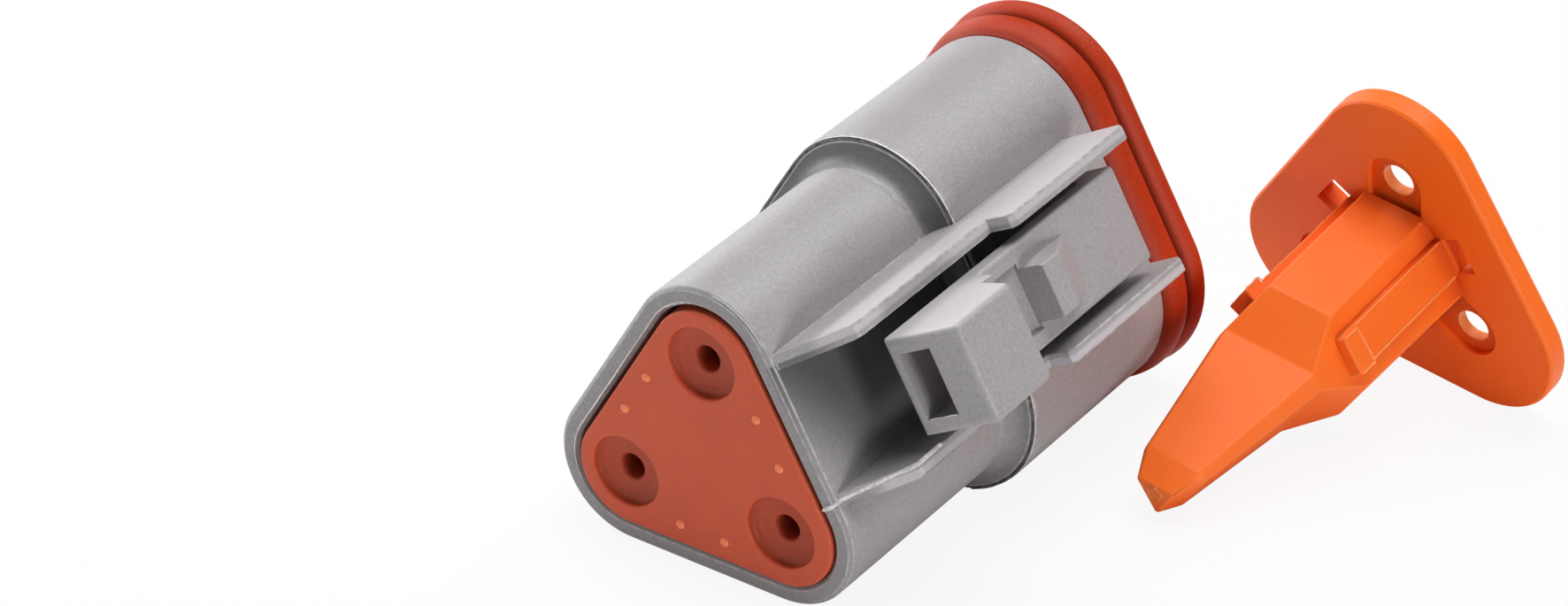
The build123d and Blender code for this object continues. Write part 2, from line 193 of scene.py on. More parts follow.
def edge_report(mesh, limit):
    """For every edge: whether it is real, whether it points outwards, the width in millimetres of its
    narrower face, and its middle. Then for every face whether it is a sliver of a small rounding, and for
    every edge whether it ends at a tiny face. Width is a face's area divided by the edge's length. An edge
    points outwards where the middle of its second face lies below the plane of its first."""
    normal = read(mesh.polygons, "normal", 3)
    middle = read(mesh.polygons, "center", 3)
    area = read(mesh.polygons, "area")
    corners = read(mesh.polygons, "loop_total", kind=int)
    edge_of_corner = read(mesh.loops, "edge_index", kind=int)
    ends = read(mesh.edges, "vertices", 2, int)
    place = read(mesh.vertices, "co", 3)

    order = np.argsort(edge_of_corner, kind="stable")
    first = np.searchsorted(edge_of_corner[order], np.arange(len(ends)))
    last = len(edge_of_corner) - 1
    face_in_order = np.repeat(np.arange(len(area)), corners)[order]
    face_1 = face_in_order[np.minimum(first, last)]
    face_2 = face_in_order[np.minimum(first + 1, last)]
    paired = np.bincount(edge_of_corner, minlength=len(ends)) == 2

    angle = np.degrees(np.arccos(np.clip((normal[face_1] * normal[face_2]).sum(1), -1, 1)))
    on_edge = place[ends].mean(1)
    outwards = ((middle[face_2] - on_edge) * normal[face_1]).sum(1) < 0
    length = np.maximum(np.linalg.norm(place[ends[:, 0]] - place[ends[:, 1]], axis=1), 1e-9)
    width = np.minimum(area[face_1], area[face_2]) / length / MM
    real = paired & (angle > limit) & ((width > NARROW) | (angle > STEEP))

    starts = np.concatenate([[0], np.cumsum(corners)[:-1]])
    longest = np.maximum.reduceat(length[edge_of_corner], starts)
    sliver = area / longest / MM < NARROW
    at_tiny = np.zeros(len(place), bool)
    at_tiny[ends[edge_of_corner[np.repeat(area < TINY * MM * MM, corners)]]] = True
    return real, outwards, width, on_edge, sliver, at_tiny[ends].any(1)


print("a face less than", NARROW, "mm wide counts as a step")

# %% [markdown]
# ## Moulded edges
# No moulded edge is truly sharp: the tool's own corner leaves a tiny radius that catches a thin line of
# light. The CAD could carry that radius, but it would grow heavy, so it is added here. A copy of each rigid
# CAD mesh is welded, its flat areas are joined up again, and every real outward edge gets a bevel, 0.06 mm
# wide on the latch, 0.07 mm on the housing and 0.15 mm on the wedge. The bevel's faces take a second,
# paler material: partly wear, partly a painted highlight along the edge. A last modifier lets the large
# faces decide the shading.

# %% Bevelled copies of the rigid nodes
BEVEL_ROOM = 3.0  # a face has to be this many bevels wide before its edge gets the full width
LEAST_BEVEL = 0.25  # share of the width that even the narrowest face's edge gets
PAST_CUT = 0.45  # mm past a cut in which no edge gets a bevel


def welded_copy(node, name, cut):
    """A CAD node's mesh with its triangles joined and its flat faces made whole. A cut is a point and a
    direction: the faces that the plane through them meets are divided there."""
    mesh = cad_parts[node].data.copy()
    bm = bmesh.new()
    bm.from_mesh(mesh)
    bmesh.ops.remove_doubles(bm, verts=bm.verts, dist=1e-6)
    bmesh.ops.dissolve_limit(bm, angle_limit=math.radians(0.4), verts=bm.verts, edges=bm.edges)
    if cut is not None:
        point, way = cut
        bmesh.ops.bisect_plane(bm, geom=bm.verts[:] + bm.edges[:] + bm.faces[:], dist=TOO_SHORT,
                               plane_co=point * MM, plane_no=way)
    bm.to_mesh(mesh)
    bm.free()
    mesh.name = name
    mesh.materials.clear()
    mesh.polygons.foreach_set("use_smooth", np.ones(len(mesh.polygons), bool))
    return mesh


def moulded_copy(node, name, width=0.07, limit=20.0, steps=2, cut=None, keep_round=None, inner=None):
    """Bevelled copy of a CAD node. Real edges are marked sharp, and those that point outwards carry a bevel
    weight that shrinks where the face beside them is narrow. Two functions of an edge's middle have their
    say: keep_round takes edges out that belong to a round surface, and inner adds inner corners, because a
    bevel keeps the two faces beside it flat."""
    mesh = welded_copy(node, name, cut)
    real, outwards, across, middle, sliver, cramped = edge_report(mesh, limit)
    if keep_round is not None:
        real &= ~keep_round(middle / MM)
    if cut is not None:
        past = (middle - cut[0] * MM) @ cut[1]
        cramped |= (past > 1e-6) & (past < PAST_CUT * MM)
    if inner is not None:
        outwards |= inner(middle / MM)
    room = np.clip(across / (BEVEL_ROOM * width), LEAST_BEVEL, 1.0)
    weight = np.where(real & outwards & ~cramped, room, 0.0).astype(np.float32)
    mesh.polygons.foreach_set("material_index", sliver.astype(np.int32))
    mesh.attributes.new("bevel_weight_edge", "FLOAT", "EDGE").data.foreach_set("value", weight)
    sharp = mesh.attributes.get("sharp_edge") or mesh.attributes.new("sharp_edge", "BOOLEAN", "EDGE")
    sharp.data.foreach_set("value", real & (weight == 0))
    piece = bpy.data.objects.new(name, mesh)
    bpy.context.scene.collection.objects.link(piece)
    bevel = piece.modifiers.new("moulded edge", "BEVEL")
    bevel.limit_method = "WEIGHT"
    bevel.width = width * MM
    bevel.segments = steps
    bevel.use_clamp_overlap = False
    bevel.material = 1
    bevel.loop_slide = True
    shade = piece.modifiers.new("flat faces first", "WEIGHTED_NORMAL")
    shade.keep_sharp = True
    shade.weight = 80
    print(name, len(mesh.polygons), "faces,", int((weight > 0).sum()), "edges get a bevel")
    return piece


housing = moulded_copy("housing", "housing_shell")
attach(housing, "plug")
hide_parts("housing")
lever = moulded_copy("latch_lever", "latch_arm", width=0.06)
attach(lever, "latch")
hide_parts("latch_lever")


# %% [markdown]
# ## The wedge's facets
# The wedge has a three lobed plate with a hole for each pin, and a blade that locks the contacts. The blade
# is a stack of six sided lengths whose faces meet at as little as ten degrees, and those lines are plain to
# see. So real edges start at nine degrees here, and only the round holes and the hollows round them are
# told to stay round. The housing's limit of twenty degrees would be simpler, but it would lose those lines.
# The blade's faces are cut just before the plate, so that the corner there doesn't bend the shading of
# their whole length.

# %% Bevelled copy of the wedge
HOLLOW_R = 2.00  # radius of the hollow round each pin hole, on the blade's side
HOLLOW_DEEP = 0.45  # the pin hole's rim is at its floor
PLATE_T = 1.66  # thickness of the plate
WAIST = 13.22  # from the plate to where the blade's taper changes
ROOT = 0.40  # from the plate to the cut through the blade
SLACK = 0.02  # how near an edge has to be to a plane to count as lying in it


def near_a_pin(points):
    """True for points in the plate that are within the hollow's radius of a pin hole's axis, but not on the
    plate's two faces or on the hole's rim. Measured in the wedge's own frame."""
    own = own_place(points)
    sideways = own[:, None, 0] - HOLE_REACH * np.cos(LOBES)
    upwards = own[:, None, 2] - HOLE_REACH * np.sin(LOBES)
    gap = np.hypot(sideways, upwards).min(1)
    in_plate = (own[:, 1] > SLACK) & (own[:, 1] < PLATE_T - SLACK)
    off_rim = np.abs(own[:, 1] - HOLLOW_DEEP) > SLACK
    return in_plate & off_rim & (gap < HOLLOW_R + 0.05)


def at_the_waist(points):
    """True for the edges across the blade where its taper changes."""
    return np.abs(own_place(points)[:, 1] + WAIST) < 0.05


wedge_root = (on_wedge((0, -ROOT, 0)), WEDGE_TURN @ AXIS)
wedge = moulded_copy("wedge_lock", "wedge_blade", width=0.15, limit=9.0, steps=3, cut=wedge_root,
                     keep_round=near_a_pin, inner=at_the_waist)
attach(wedge, "plug")
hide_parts("wedge_lock")

# %% [markdown]
# ## A profile carried round the three lobes
# Both seals and the flash on the rims follow the plug's section. A Blender curve with a bevel object could
# carry a profile too, but a formula says where each point of it lies. Here a point on the triangle of lobe
# centres, and the direction outwards there, turn a profile point (radius, y) into a point in space: centre
# plus direction times radius.

# %% Path of the three lobes
ARC_STEPS = 72  # points round one lobe of a seal
FLAT_STEPS = 30  # points along one flat, on a seal


def lobe_path(arc_steps, flat_steps):
    """Centres and outward directions round the section: 120 degrees of turning at a lobe's own centre, then a
    straight run to the next one with the direction held."""
    lobes = LOBES[:, None]
    here = LOBE_C * section_way(lobes)
    there = np.roll(here, -1, 0)
    bend = section_way(lobes + np.radians(np.linspace(-60, 60, arc_steps, endpoint=False)))
    run = section_way(np.repeat(lobes + np.radians(60), flat_steps, 1))
    share = np.linspace(0, 1, flat_steps, endpoint=False)[None, :, None]
    centres = np.concatenate([np.repeat(here, arc_steps, 1), here + (there - here) * share], 1)
    return centres.reshape(-1, 3), np.concatenate([bend, run], 1).reshape(-1, 3)


def carried(profile, centres, outs, wobble=0.0):
    """Grid of points: centre + outward direction x profile radius, with y from the profile. The wobble is a
    change of radius for each place on the path, as soft rubber has."""
    radius = profile[None, :, 0] + np.reshape(wobble, (-1, 1))
    points = centres[:, None, :] + outs[:, None, :] * radius[..., None]
    points[..., 1] += profile[None, :, 1]
    return points


centres, outs = lobe_path(ARC_STEPS, FLAT_STEPS)
print(len(centres), "places round the section")

# %% [markdown]
# ## Front seal
# A silicone ring sits round the nose. Two round ribs squeeze against the mating part, with a narrow groove
# between them and a thinner lip in front. A few rings and a subdivision surface would give soft ribs, but
# not the crisp groove, so the profile is drawn with straight runs and arcs, each arc given by its start, a
# point on the way and its end. The whole is one closed loop carried round the lobes.

# %% Arc through three points
def arc(start, through, end, steps):
    """Points on the circle through three points. The centre solves two equations: it is as far from the start
    as from each of the other two. The angles then run from start to end by way of the middle point."""
    start, through, end = (np.asarray(point, float) for point in (start, through, end))
    sides = 2 * np.array((through - start, end - start))
    squares = np.array((through @ through - start @ start, end @ end - start @ start))
    middle = np.linalg.solve(sides, squares)
    angle = np.unwrap([math.atan2(*(point - middle)[::-1]) for point in (start, through, end)])
    turn = np.concatenate([np.linspace(angle[0], angle[1], steps // 2, endpoint=False),
                           np.linspace(angle[1], angle[2], steps - steps // 2)])
    return middle + np.linalg.norm(start - middle) * np.stack([np.cos(turn), np.sin(turn)], -1)


print("middle of a half circle", np.round(arc((1, 0), (0, 1), (-1, 0), 9)[4], 3))

# %% [markdown]
# ### The front seal's profile
# On the real seal the rear rib is a little lower than the front one, and the lip lies well below both. The
# profile goes round once: from the nose out over the foot, over both ribs, down to the lip, and back
# inside.

# %% Front seal
RIB_REAR_R, RIB_REAR_Y = 7.16, 34.20  # crest of the rear rib
RIB_FRONT_R, RIB_FRONT_Y = 7.33, 36.12  # crest of the front rib
VALLEY_R = 6.56  # bottom of the groove between them
BANK_R = VALLEY_R + 0.12  # where the groove's round bottom meets the ribs
LIP_R, LIP_Y = 5.88, 37.08

foot = [(NOSE_R, SHOULDER_Y), (FRONT_R - 0.2, SHOULDER_Y), (FRONT_R - 0.06, SHOULDER_Y + 0.06)]
up_rear = arc((FRONT_R, SHOULDER_Y + 0.2), (RIB_REAR_R - 0.15, RIB_REAR_Y - 0.72),
              (RIB_REAR_R, RIB_REAR_Y), 10)
down_rear = arc((RIB_REAR_R, RIB_REAR_Y), (RIB_REAR_R - 0.15, RIB_REAR_Y + 0.40),
                (BANK_R, RIB_REAR_Y + 0.74), 9)
groove = arc((BANK_R, RIB_REAR_Y + 0.74), (VALLEY_R, RIB_REAR_Y + 0.84), (BANK_R, RIB_REAR_Y + 0.94), 5)
up_front = arc((BANK_R, RIB_REAR_Y + 0.94), (RIB_FRONT_R - 0.16, RIB_FRONT_Y - 0.44),
               (RIB_FRONT_R, RIB_FRONT_Y), 10)
down_front = arc((RIB_FRONT_R, RIB_FRONT_Y), (RIB_FRONT_R - 0.22, RIB_FRONT_Y + 0.42),
                 (RIB_FRONT_R - 0.80, RIB_FRONT_Y + 0.60), 9)
ledge = [(LIP_R + 0.34, RIB_FRONT_Y + 0.62)]
to_lip = arc((LIP_R + 0.30, RIB_FRONT_Y + 0.625), (LIP_R + 0.07, RIB_FRONT_Y + 0.67),
             (LIP_R, RIB_FRONT_Y + 0.80), 5)
over_lip = arc((LIP_R, RIB_FRONT_Y + 0.82), (LIP_R - 0.10, LIP_Y - 0.08), (LIP_R - 0.36, LIP_Y), 5)
inside = [(NOSE_R + 0.02, LIP_Y), (NOSE_R, LIP_Y - 0.02)]
seal_profile = np.concatenate([foot, up_rear, down_rear[1:], groove[1:], up_front[1:], down_front[1:], ledge,
                               to_lip[1:], over_lip, inside])

# The ring is 0.011 mm slimmer than its CAD solid, and uneven by up to 0.006 mm in slow waves, as soft rubber
# is.
around = np.linspace(0, 2 * np.pi, len(centres), endpoint=False)
sag = -0.011 + 0.006 * np.sin(5 * around + 0.6) * np.cos(3 * around)
seal_points = carried(seal_profile, centres, outs, sag)
seal = make_piece("front_seal_ring", seal_points, grid_faces(len(centres), len(seal_profile), True, True), 40)
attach(seal, "plug")
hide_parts("front_seal")
print("seal ring", len(centres), "x", len(seal_profile))


# %% [markdown]
# ## Wire seal
# The silicone plug in the wire end has a flat face with three dishes, and a hole in the middle of each that
# closes round a wire. A height field on a square grid would cut the dishes into stairs, so each third of
# the face is a fan instead: its rings are circles near the hole and turn into the outline further out.
# Every spoke runs from the dish's centre to one point of the third's own border, and the profile says how
# far along the spoke, and how deep, each ring lies. Neighbouring thirds and the side wall share their
# border points, so it all welds shut.

# %% Fan from a dish to the border of its third
SEAL_FACE_Y = -0.20  # the face stands this much proud of the wire end's rim
SEAL_R = 3.37  # lobe radius of the flat face
SIDE_R = SEAL_R + 0.20  # of the side wall behind its rounded edge
POCKET_R = 3.74  # of the pocket, which the seal's two ribs touch
POCKET_Y = 8.20  # floor of the pocket
WIRE_R = 0.80  # radius of a wire hole
IN_STEPS = 28  # points from the outline straight in to the axis, the corner counted
OUTER_RINGS = 4  # rings of a fan outside the dish
# Radius and depth of the dish's rings: flat face, rounded edge, steep wall, floor, and the mouth of the hole.
DISH = np.array((
    (2.60, 0.0), (2.47, 0.0), (2.43, 0.012), (2.395, 0.05), (2.375, 0.11), (2.365, 0.20), (2.35, 0.42),
    (2.32, 0.50), (2.24, 0.555), (2.08, 0.585), (1.97, 0.60), (1.90, 0.625), (1.83, 0.665), (1.74, 0.69),
    (1.60, 0.705), (1.10, 0.72), (0.99, 0.728), (0.91, 0.755), (0.855, 0.815), (0.815, 0.92), (WIRE_R, 1.06)))
BACK = np.array(((2.60, 0.0), (WIRE_R, 0.0)))  # the back of the seal is flat up to the hole


def third_border(outline, number):
    """Closed border of one third of the face, as (x, z): half a flat, the lobe's arc, half a flat, then
    straight in to the plug's axis and straight out again."""
    third = ARC_STEPS + FLAT_STEPS
    start = number * third - FLAT_STEPS // 2
    outer = outline[np.arange(start, start + third + 1) % len(outline)]
    share = np.linspace(0, 1, IN_STEPS)[1:, None]
    return np.concatenate([outer, outer[-1] * (1 - share), outer[0] * share[:-1]])


def fan(border, centre, profile, face_y):
    """Points of one fan. A ring of the dish is centre + spoke's direction x radius, and the four rings
    outside it share out the rest of the spoke evenly. The y is the face's own plus the profile's depth."""
    spoke = border - centre
    length = np.linalg.norm(spoke, axis=1)[:, None]
    outside = profile[0, 0] + (length - profile[0, 0]) * np.linspace(1, 0, OUTER_RINGS + 1)[:-1]
    radius = np.concatenate([outside, np.broadcast_to(profile[:, 0], (len(border), len(profile)))], 1)
    depth = np.concatenate([np.zeros(OUTER_RINGS), profile[:, 1]])
    flat = centre + (spoke / length)[:, None, :] * radius[..., None]
    return np.stack([flat[..., 0], np.broadcast_to(face_y + depth, radius.shape), flat[..., 1]], -1)


print("dish", len(DISH), "rings, down to", DISH[-1, 1], "mm")

# %% [markdown]
# ### Side wall and thirds
# A soft plug never sits quite centred in its pocket. The face and the wall just behind it are pushed to one
# side by up to an eighth of a millimetre, and the two ribs, which touch the pocket, stay where they are.
# The back is pushed like the face, because both have the same outline. So each row of the wall says which
# share of the push it takes.

# %% Wire seal
WALL = np.array((  # lobe radius, y, and share of the push
    (SEAL_R, SEAL_FACE_Y, 1.0), (SEAL_R + 0.10, SEAL_FACE_Y + 0.027, 1.0),
    (SEAL_R + 0.173, SEAL_FACE_Y + 0.10, 1.0), (SIDE_R, SEAL_FACE_Y + 0.20, 1.0), (SIDE_R, 2.05, 0.6),
    (POCKET_R, 2.4, 0.0), (POCKET_R, 2.8, 0.0),
    (SIDE_R, 3.15, 0.0), (SIDE_R, 5.05, 0.0), (POCKET_R, 5.4, 0.0), (POCKET_R, 5.8, 0.0), (SIDE_R, 6.15, 0.0),
    (SIDE_R, POCKET_Y - 0.2, 0.4), (SEAL_R, POCKET_Y, 1.0)))
OFF_CENTRE = 0.125  # mm
PUSHED = np.array((0.92, 0.0, -0.39))  # towards +X and a little down

push = OFF_CENTRE * (outs @ PUSHED)
wall_points = carried(WALL[:, :2], centres, outs)
wall_points += outs[:, None, :] * push[:, None, None] * WALL[:, 2][:, None]
outline = (centres + outs * (SEAL_R + push[:, None]))[:, [0, 2]]
shells = [(wall_points, grid_faces(len(centres), len(WALL), True))]
for number, lobe in enumerate(LOBES):
    border = third_border(outline, number)
    hole = HOLE_REACH * np.array((math.cos(lobe), math.sin(lobe)))
    front = fan(border, hole, DISH, SEAL_FACE_Y)
    rear = fan(border, hole, BACK, POCKET_Y)
    through = np.concatenate([front, rear[:, ::-1]], 1)
    shells.append((through, grid_faces(len(border), through.shape[1], True)))
first = np.cumsum([0] + [grid.reshape(-1, 3).shape[0] for grid, _ in shells])[:-1]
shell_points = np.concatenate([grid.reshape(-1, 3) for grid, _ in shells])
shell_faces = np.concatenate([faces + start for start, (_, faces) in zip(first, shells)])
grommet = make_piece("wire_seal", shell_points, shell_faces, 50)
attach(grommet, "plug")
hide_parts("wire_grommet")
print("each spoke goes to one of", len(border), "border points")

# %% [markdown]
# ### Dots on the wire seal
# Six small domes stand on the face, two beside the middle of each flat, where the mould's pins left them.
# Six separate spheres would do, but one array is shorter: a dome's formula once, plus six places.

# %% Dots
DOT_R = 0.30
DOT_HIGH = 0.175
DOT_FOOT = 0.01  # how deep the dome's foot is sunk into the face
DOT_OUT = 5.45  # from the axis to the line of two dots
DOT_ASIDE = 1.60  # from the middle of the flat to a dot
DOT_TURNS, DOT_RINGS = 32, 9

turn, rise = np.meshgrid(np.linspace(0, 2 * np.pi, DOT_TURNS, endpoint=False),
                         np.linspace(0, np.pi / 2, DOT_RINGS), indexing="ij")
dome = np.stack([DOT_R * np.sin(rise) * np.cos(turn),
                 SEAL_FACE_Y + DOT_FOOT - DOT_HIGH * np.cos(rise) ** 1.3,
                 DOT_R * np.sin(rise) * np.sin(turn)], -1)
flat = np.radians(np.repeat(FLATS, 2))
aside = np.tile((-DOT_ASIDE, DOT_ASIDE), 3)
spots = np.stack([DOT_OUT * np.cos(flat) - aside * np.sin(flat), 0 * flat,
                  DOT_OUT * np.sin(flat) + aside * np.cos(flat)], -1)
dot_points = spots[:, None, None, :] + dome
dots = make_piece("wire_seal_dots", dot_points, repeated_faces(6, DOT_TURNS, DOT_RINGS), 60)
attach(dots, "plug")
print("dots stand", round(DOT_HIGH - DOT_FOOT, 3), "mm proud")


# %% [markdown]
# ## Flash
# Where the halves of a mould meet, a little plastic creeps out and leaves a thin ragged fin that catches
# the light. It could be painted, but a real fin casts its own thin shadow, and it is only a narrow ridge
# carried along a path. Its height comes from smoothed random numbers, with a fixed seed so that every run
# gives the same fin, and the least share of the height says how far down it may go.

# %% Ragged fins along a path
COARSE, FINE = 16, 4  # path points to one random value, at the two scales
FIN_FOOT = 0.03  # mm that a fin's foot is sunk into the plastic
FIN_SUNK = 0.06  # mm that its crest lies below the surface where there is no flash
TAPER = 4  # points over which an open fin runs out


def along(corners, spacing):
    """Evenly spaced points on straight runs between corners: each coordinate read off by the length so
    far."""
    corners = np.asarray(corners, float)
    so_far = np.concatenate([[0], np.cumsum(np.linalg.norm(np.diff(corners, axis=0), axis=1))])
    at = np.linspace(0, so_far[-1], max(int(so_far[-1] / spacing), 3))
    return np.stack([np.interp(at, so_far, corners[:, k]) for k in range(3)], -1)


def ragged(count, seed):
    """Random heights from 0 to 1 for a closed path: one random value every few points, joined by straight
    lines, at two scales that are added together."""
    draw = np.random.default_rng(seed)

    def chain(values):
        """Values spread over the path and joined by straight lines, the last one to the first."""
        at = np.linspace(0, count, len(values) + 1)
        return np.interp(np.arange(count), at, np.append(values, values[0]))

    wide = chain(draw.random(max(count // COARSE, 2)))
    thin = chain(draw.random(max(count // FINE, 3)))
    return np.clip(0.9 * wide + 0.7 * thin - 0.35, 0, 1)


def fin(name, body, path, lift, height, thick, seed, least, closed=False, share=1.0):
    """A ridge of five points carried along the path: half the thickness to each side of its foot, and up
    along lift by a ragged share of the height. An open fin runs out to a point at its ends. Where the share
    is 0 the fin sinks out of sight."""
    path = np.asarray(path, float)
    lift = np.broadcast_to(lift, path.shape)
    lift = lift / np.linalg.norm(lift, axis=1)[:, None]
    ahead = np.roll(path, -1, 0) - np.roll(path, 1, 0) if closed else np.gradient(path, axis=0)
    across = np.cross(ahead, lift)
    across /= np.linalg.norm(across, axis=1)[:, None]
    rise = least + (1 - least) * ragged(len(path), seed)
    to_end = np.minimum(np.arange(len(path)), np.arange(len(path))[::-1])
    slim = np.ones(len(path)) if closed else np.clip(to_end / TAPER, 0, 1)
    up = (height * rise * slim * share - FIN_SUNK * (1 - np.asarray(share)))[:, None]
    side = across * (0.5 * thick * slim)[:, None]
    foot = path - lift * (FIN_FOOT * slim)[:, None]
    ridge = [foot - side, path - 0.4 * side + lift * up * 0.75, path + lift * up,
             path + 0.4 * side + lift * up * 0.7, foot + side]
    piece = make_piece(name, np.stack(ridge, 1), grid_faces(len(path), len(ridge), closed, True), 30)
    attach(piece, body)
    return piece


# %% [markdown]
# ## Where the flash is
# The step in the body has a thin rim with flash all round it, and just inside that a dark ridge, a painted
# shadow line for the shade between the flash and the body. The rim of the wire end has two fine lines that
# come and go: one outside, on the upper right only, and one at the seal's pocket, on the left only. They
# could be cut there, but a share that falls to 0 lets a closed fin sink into the plastic instead, with no
# end to be seen.

# %% Flash on the rims
RIM_OUT, RIM_AHEAD = 6.44, 0.20  # the step's rim: lobe radius, and distance past the step
# The dark ridge just inside the rim is a painted shadow line: lobe radius, and distance past the step.
SHADOW_LINE_OUT, SHADOW_LINE_AHEAD = 6.33, 0.055
MOUTH_OUT, MOUTH_AHEAD = 3.975, 0.02  # the pocket's bevelled mouth
EDGE_IN, EDGE_AHEAD = 0.10, 0.12  # the wire end's bevelled outer edge

centres, outs = lobe_path(120, 50)
step = centres + outs * RIM_OUT + AXIS * (STEP_Y + RIM_AHEAD)
rim_flash = fin("step_rim_flash", "plug", step, 0.35 * outs - AXIS, height=0.19, thick=0.08, seed=3,
                least=0.40, closed=True)
# Painted shadow: a low dark ridge just inside the rim, where the flash shades the body.
crease = centres + outs * SHADOW_LINE_OUT + AXIS * (STEP_Y + SHADOW_LINE_AHEAD)
rim_painted_shadow = fin("step_rim_painted_shadow", "plug", crease, -AXIS, height=0.05, thick=0.14, seed=4, least=0.3,
                 closed=True)
facing = np.degrees(np.arctan2(outs[:, 2], outs[:, 0]))
left_side = np.clip((facing - 96) / 8, 0, 1) + np.clip((-150 - facing) / 8, 0, 1) * (facing < 0)
mouth = centres + outs * MOUTH_OUT + AXIS * MOUTH_AHEAD
mouth_flash = fin("pocket_rim_flash", "plug", mouth, -AXIS - 0.7 * outs, height=0.16, thick=0.09, seed=5,
                  least=0.0, closed=True, share=left_side)
upper_right = np.clip((facing - 30) / 6, 0, 1) * np.clip((84 - facing) / 6, 0, 1)
edge = centres + outs * (REAR_R - EDGE_IN) + AXIS * EDGE_AHEAD
edge_flash = fin("wire_end_flash", "plug", edge, outs - AXIS, height=0.07, thick=0.06, seed=8,
                 least=0.1, closed=True, share=upper_right)
print("flash on the left covers", round(float(left_side.mean()) * 100), "% of the pocket's rim")

# %% [markdown]
# ### Flash on the rails and the latch
# Two rails guard the latch. The lower one was trimmed badly: a coarse white fin climbs from the pocket over
# the wire end's rim, up the rail's foot and its slanted end, and a little way along its top. Both rails
# have a fine line along an upper edge. The mouth of the tunnel in the thumb pad is ragged on one side, and
# that fin rides on the latch, so that it moves with it.

# %% Flash on the rails and the latch
RAIL_FOOT = np.array((  # y, out from the axis, and aside, of the corners that the coarse fin passes
    (-0.01, 6.98, -4.75), (-0.01, 7.80, -4.62), (0.30, 8.16, -4.52), (0.50, 8.32, -4.46),
    (1.70, 10.31, -4.30), (3.05, 12.53, -4.15), (3.40, 12.61, -4.12), (5.60, 12.61, -4.10)))
UPPER_EDGE = np.array(((0.55, 8.2, 4.09), (3.1, 12.45, 4.09), (3.5, 12.6, 4.09), (16.7, 12.6, 4.09)))
LOWER_EDGE = np.array(((3.3, 12.60, -4.93), (16.7, 12.60, -4.93)))
TUNNEL_EDGE = np.array(((4.43, 13.60, -2.12), (4.43, 15.84, -2.12)))
off_edge = 0.8 * LATCH_OUT - 0.6 * LATCH_SIDE

rail_path = along(beside_latch(*RAIL_FOOT.T), 0.045)
rail_flash = fin("lower_rail_flash", "plug", rail_path, 0.6 * LATCH_OUT - 0.8 * AXIS, height=0.32, thick=0.28,
                 seed=11, least=0.12)
lower_path = along(beside_latch(*LOWER_EDGE.T), 0.07)
rail_line = fin("lower_rail_line", "plug", lower_path, off_edge, height=0.04, thick=0.06, seed=12,
                least=0.15)
upper_path = along(beside_latch(*UPPER_EDGE.T), 0.07)
upper_line = fin("upper_rail_line", "plug", upper_path, off_edge, height=0.04, thick=0.06, seed=14,
                 least=0.15)
tunnel_path = along(beside_latch(*TUNNEL_EDGE.T), 0.04)
tunnel_flash = fin("tunnel_mouth_flash", "latch", tunnel_path, 0.8 * LATCH_SIDE - 0.4 * AXIS, height=0.09,
                   thick=0.06, seed=17, least=0.2)

# %% [markdown]
# ## Flash on the wedge
# Three strips run along the blade, and each ends in a hook that catches in the housing. Their long edges
# and the hooks' crests are ragged, because the mould opens there. The same fins do for them. They are drawn
# in the wedge's own frame, where every strip has the same numbers, and then laid down with it.

# %% Flash on the wedge
STRIP_HALF = 1.30  # half a strip's width
STRIP_EDGE = ((5.10, -10.58), (5.12, -9.20), (4.74, -9.15), (4.74, -0.1))  # out from the axis, and y
HOOK_OUT, HOOK_Y = 5.12, -9.22
HOOK_HALF = 1.29

wedge_fins = []
for number, degrees in enumerate(FLATS):
    out = section_way(np.radians(degrees))
    side = section_way(np.radians(degrees + 90))
    for way, letter in ((-1, "a"), (1, "b")):
        corners = [out * far + side * way * STRIP_HALF + AXIS * y for far, y in STRIP_EDGE]
        lift = (out + 0.7 * way * side) @ WEDGE_TURN.T
        wedge_fins.append(fin(f"strip_flash_{number}_{letter}", "plug", on_wedge(along(corners, 0.06)), lift,
                              height=0.13, thick=0.10, seed=30 + 2 * number + way, least=0.3))
    corners = [out * HOOK_OUT + side * aside + AXIS * HOOK_Y for aside in (-HOOK_HALF, HOOK_HALF)]
    lift = (out + 0.5 * AXIS) @ WEDGE_TURN.T
    wedge_fins.append(fin(f"hook_flash_{number}", "plug", on_wedge(along(corners, 0.06)), lift,
                          height=0.10, thick=0.09, seed=40 + number, least=0.3))
print(len(wedge_fins), "fins on the wedge")

# %% [markdown]
# ## Gate mark
# At the wedge's tip is the gate, where the plastic was let into the mould. Breaking it off leaves a low
# uneven scar. It could be sculpted by hand, but a formula gives it the same each time: a flat dome over a
# wavy outline, whose radius is a constant plus three waves, with a torn fin round it.

# %% Gate scar on the wedge's tip
TIP_Y = -24.85
SCAR_UP = 0.15  # the scar's middle lies this much above the blade's axis
SCAR_WIDE, SCAR_TALL = 0.85, 0.95  # it is a little narrower than tall
SCAR_HIGH = 0.05
SCAR_TURNS, SCAR_RINGS = 48, 12

turn, rise = np.meshgrid(np.linspace(0, 2 * np.pi, SCAR_TURNS, endpoint=False), np.linspace(0, 1, SCAR_RINGS),
                         indexing="ij")
reach = 0.56 + 0.08 * np.sin(2 * turn + 0.5) + 0.06 * np.sin(5 * turn) + 0.03 * np.sin(9 * turn + 1.0)
high = SCAR_HIGH * (1 - rise ** 5) * (0.85 + 0.15 * np.sin(3 * turn + 2))
scar = np.stack([SCAR_WIDE * reach * rise * np.cos(turn), TIP_Y + 0.01 - high,
                 SCAR_UP + SCAR_TALL * reach * rise * np.sin(turn)], -1)
gate = make_piece("gate_scar", on_wedge(scar), grid_faces(SCAR_TURNS, SCAR_RINGS, True), 30)
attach(gate, "plug")
turn, reach = turn[:, 0], reach[:, 0]
torn = np.stack([SCAR_WIDE * reach * np.cos(turn), TIP_Y + 0 * turn,
                 SCAR_UP + SCAR_TALL * reach * np.sin(turn)], -1)
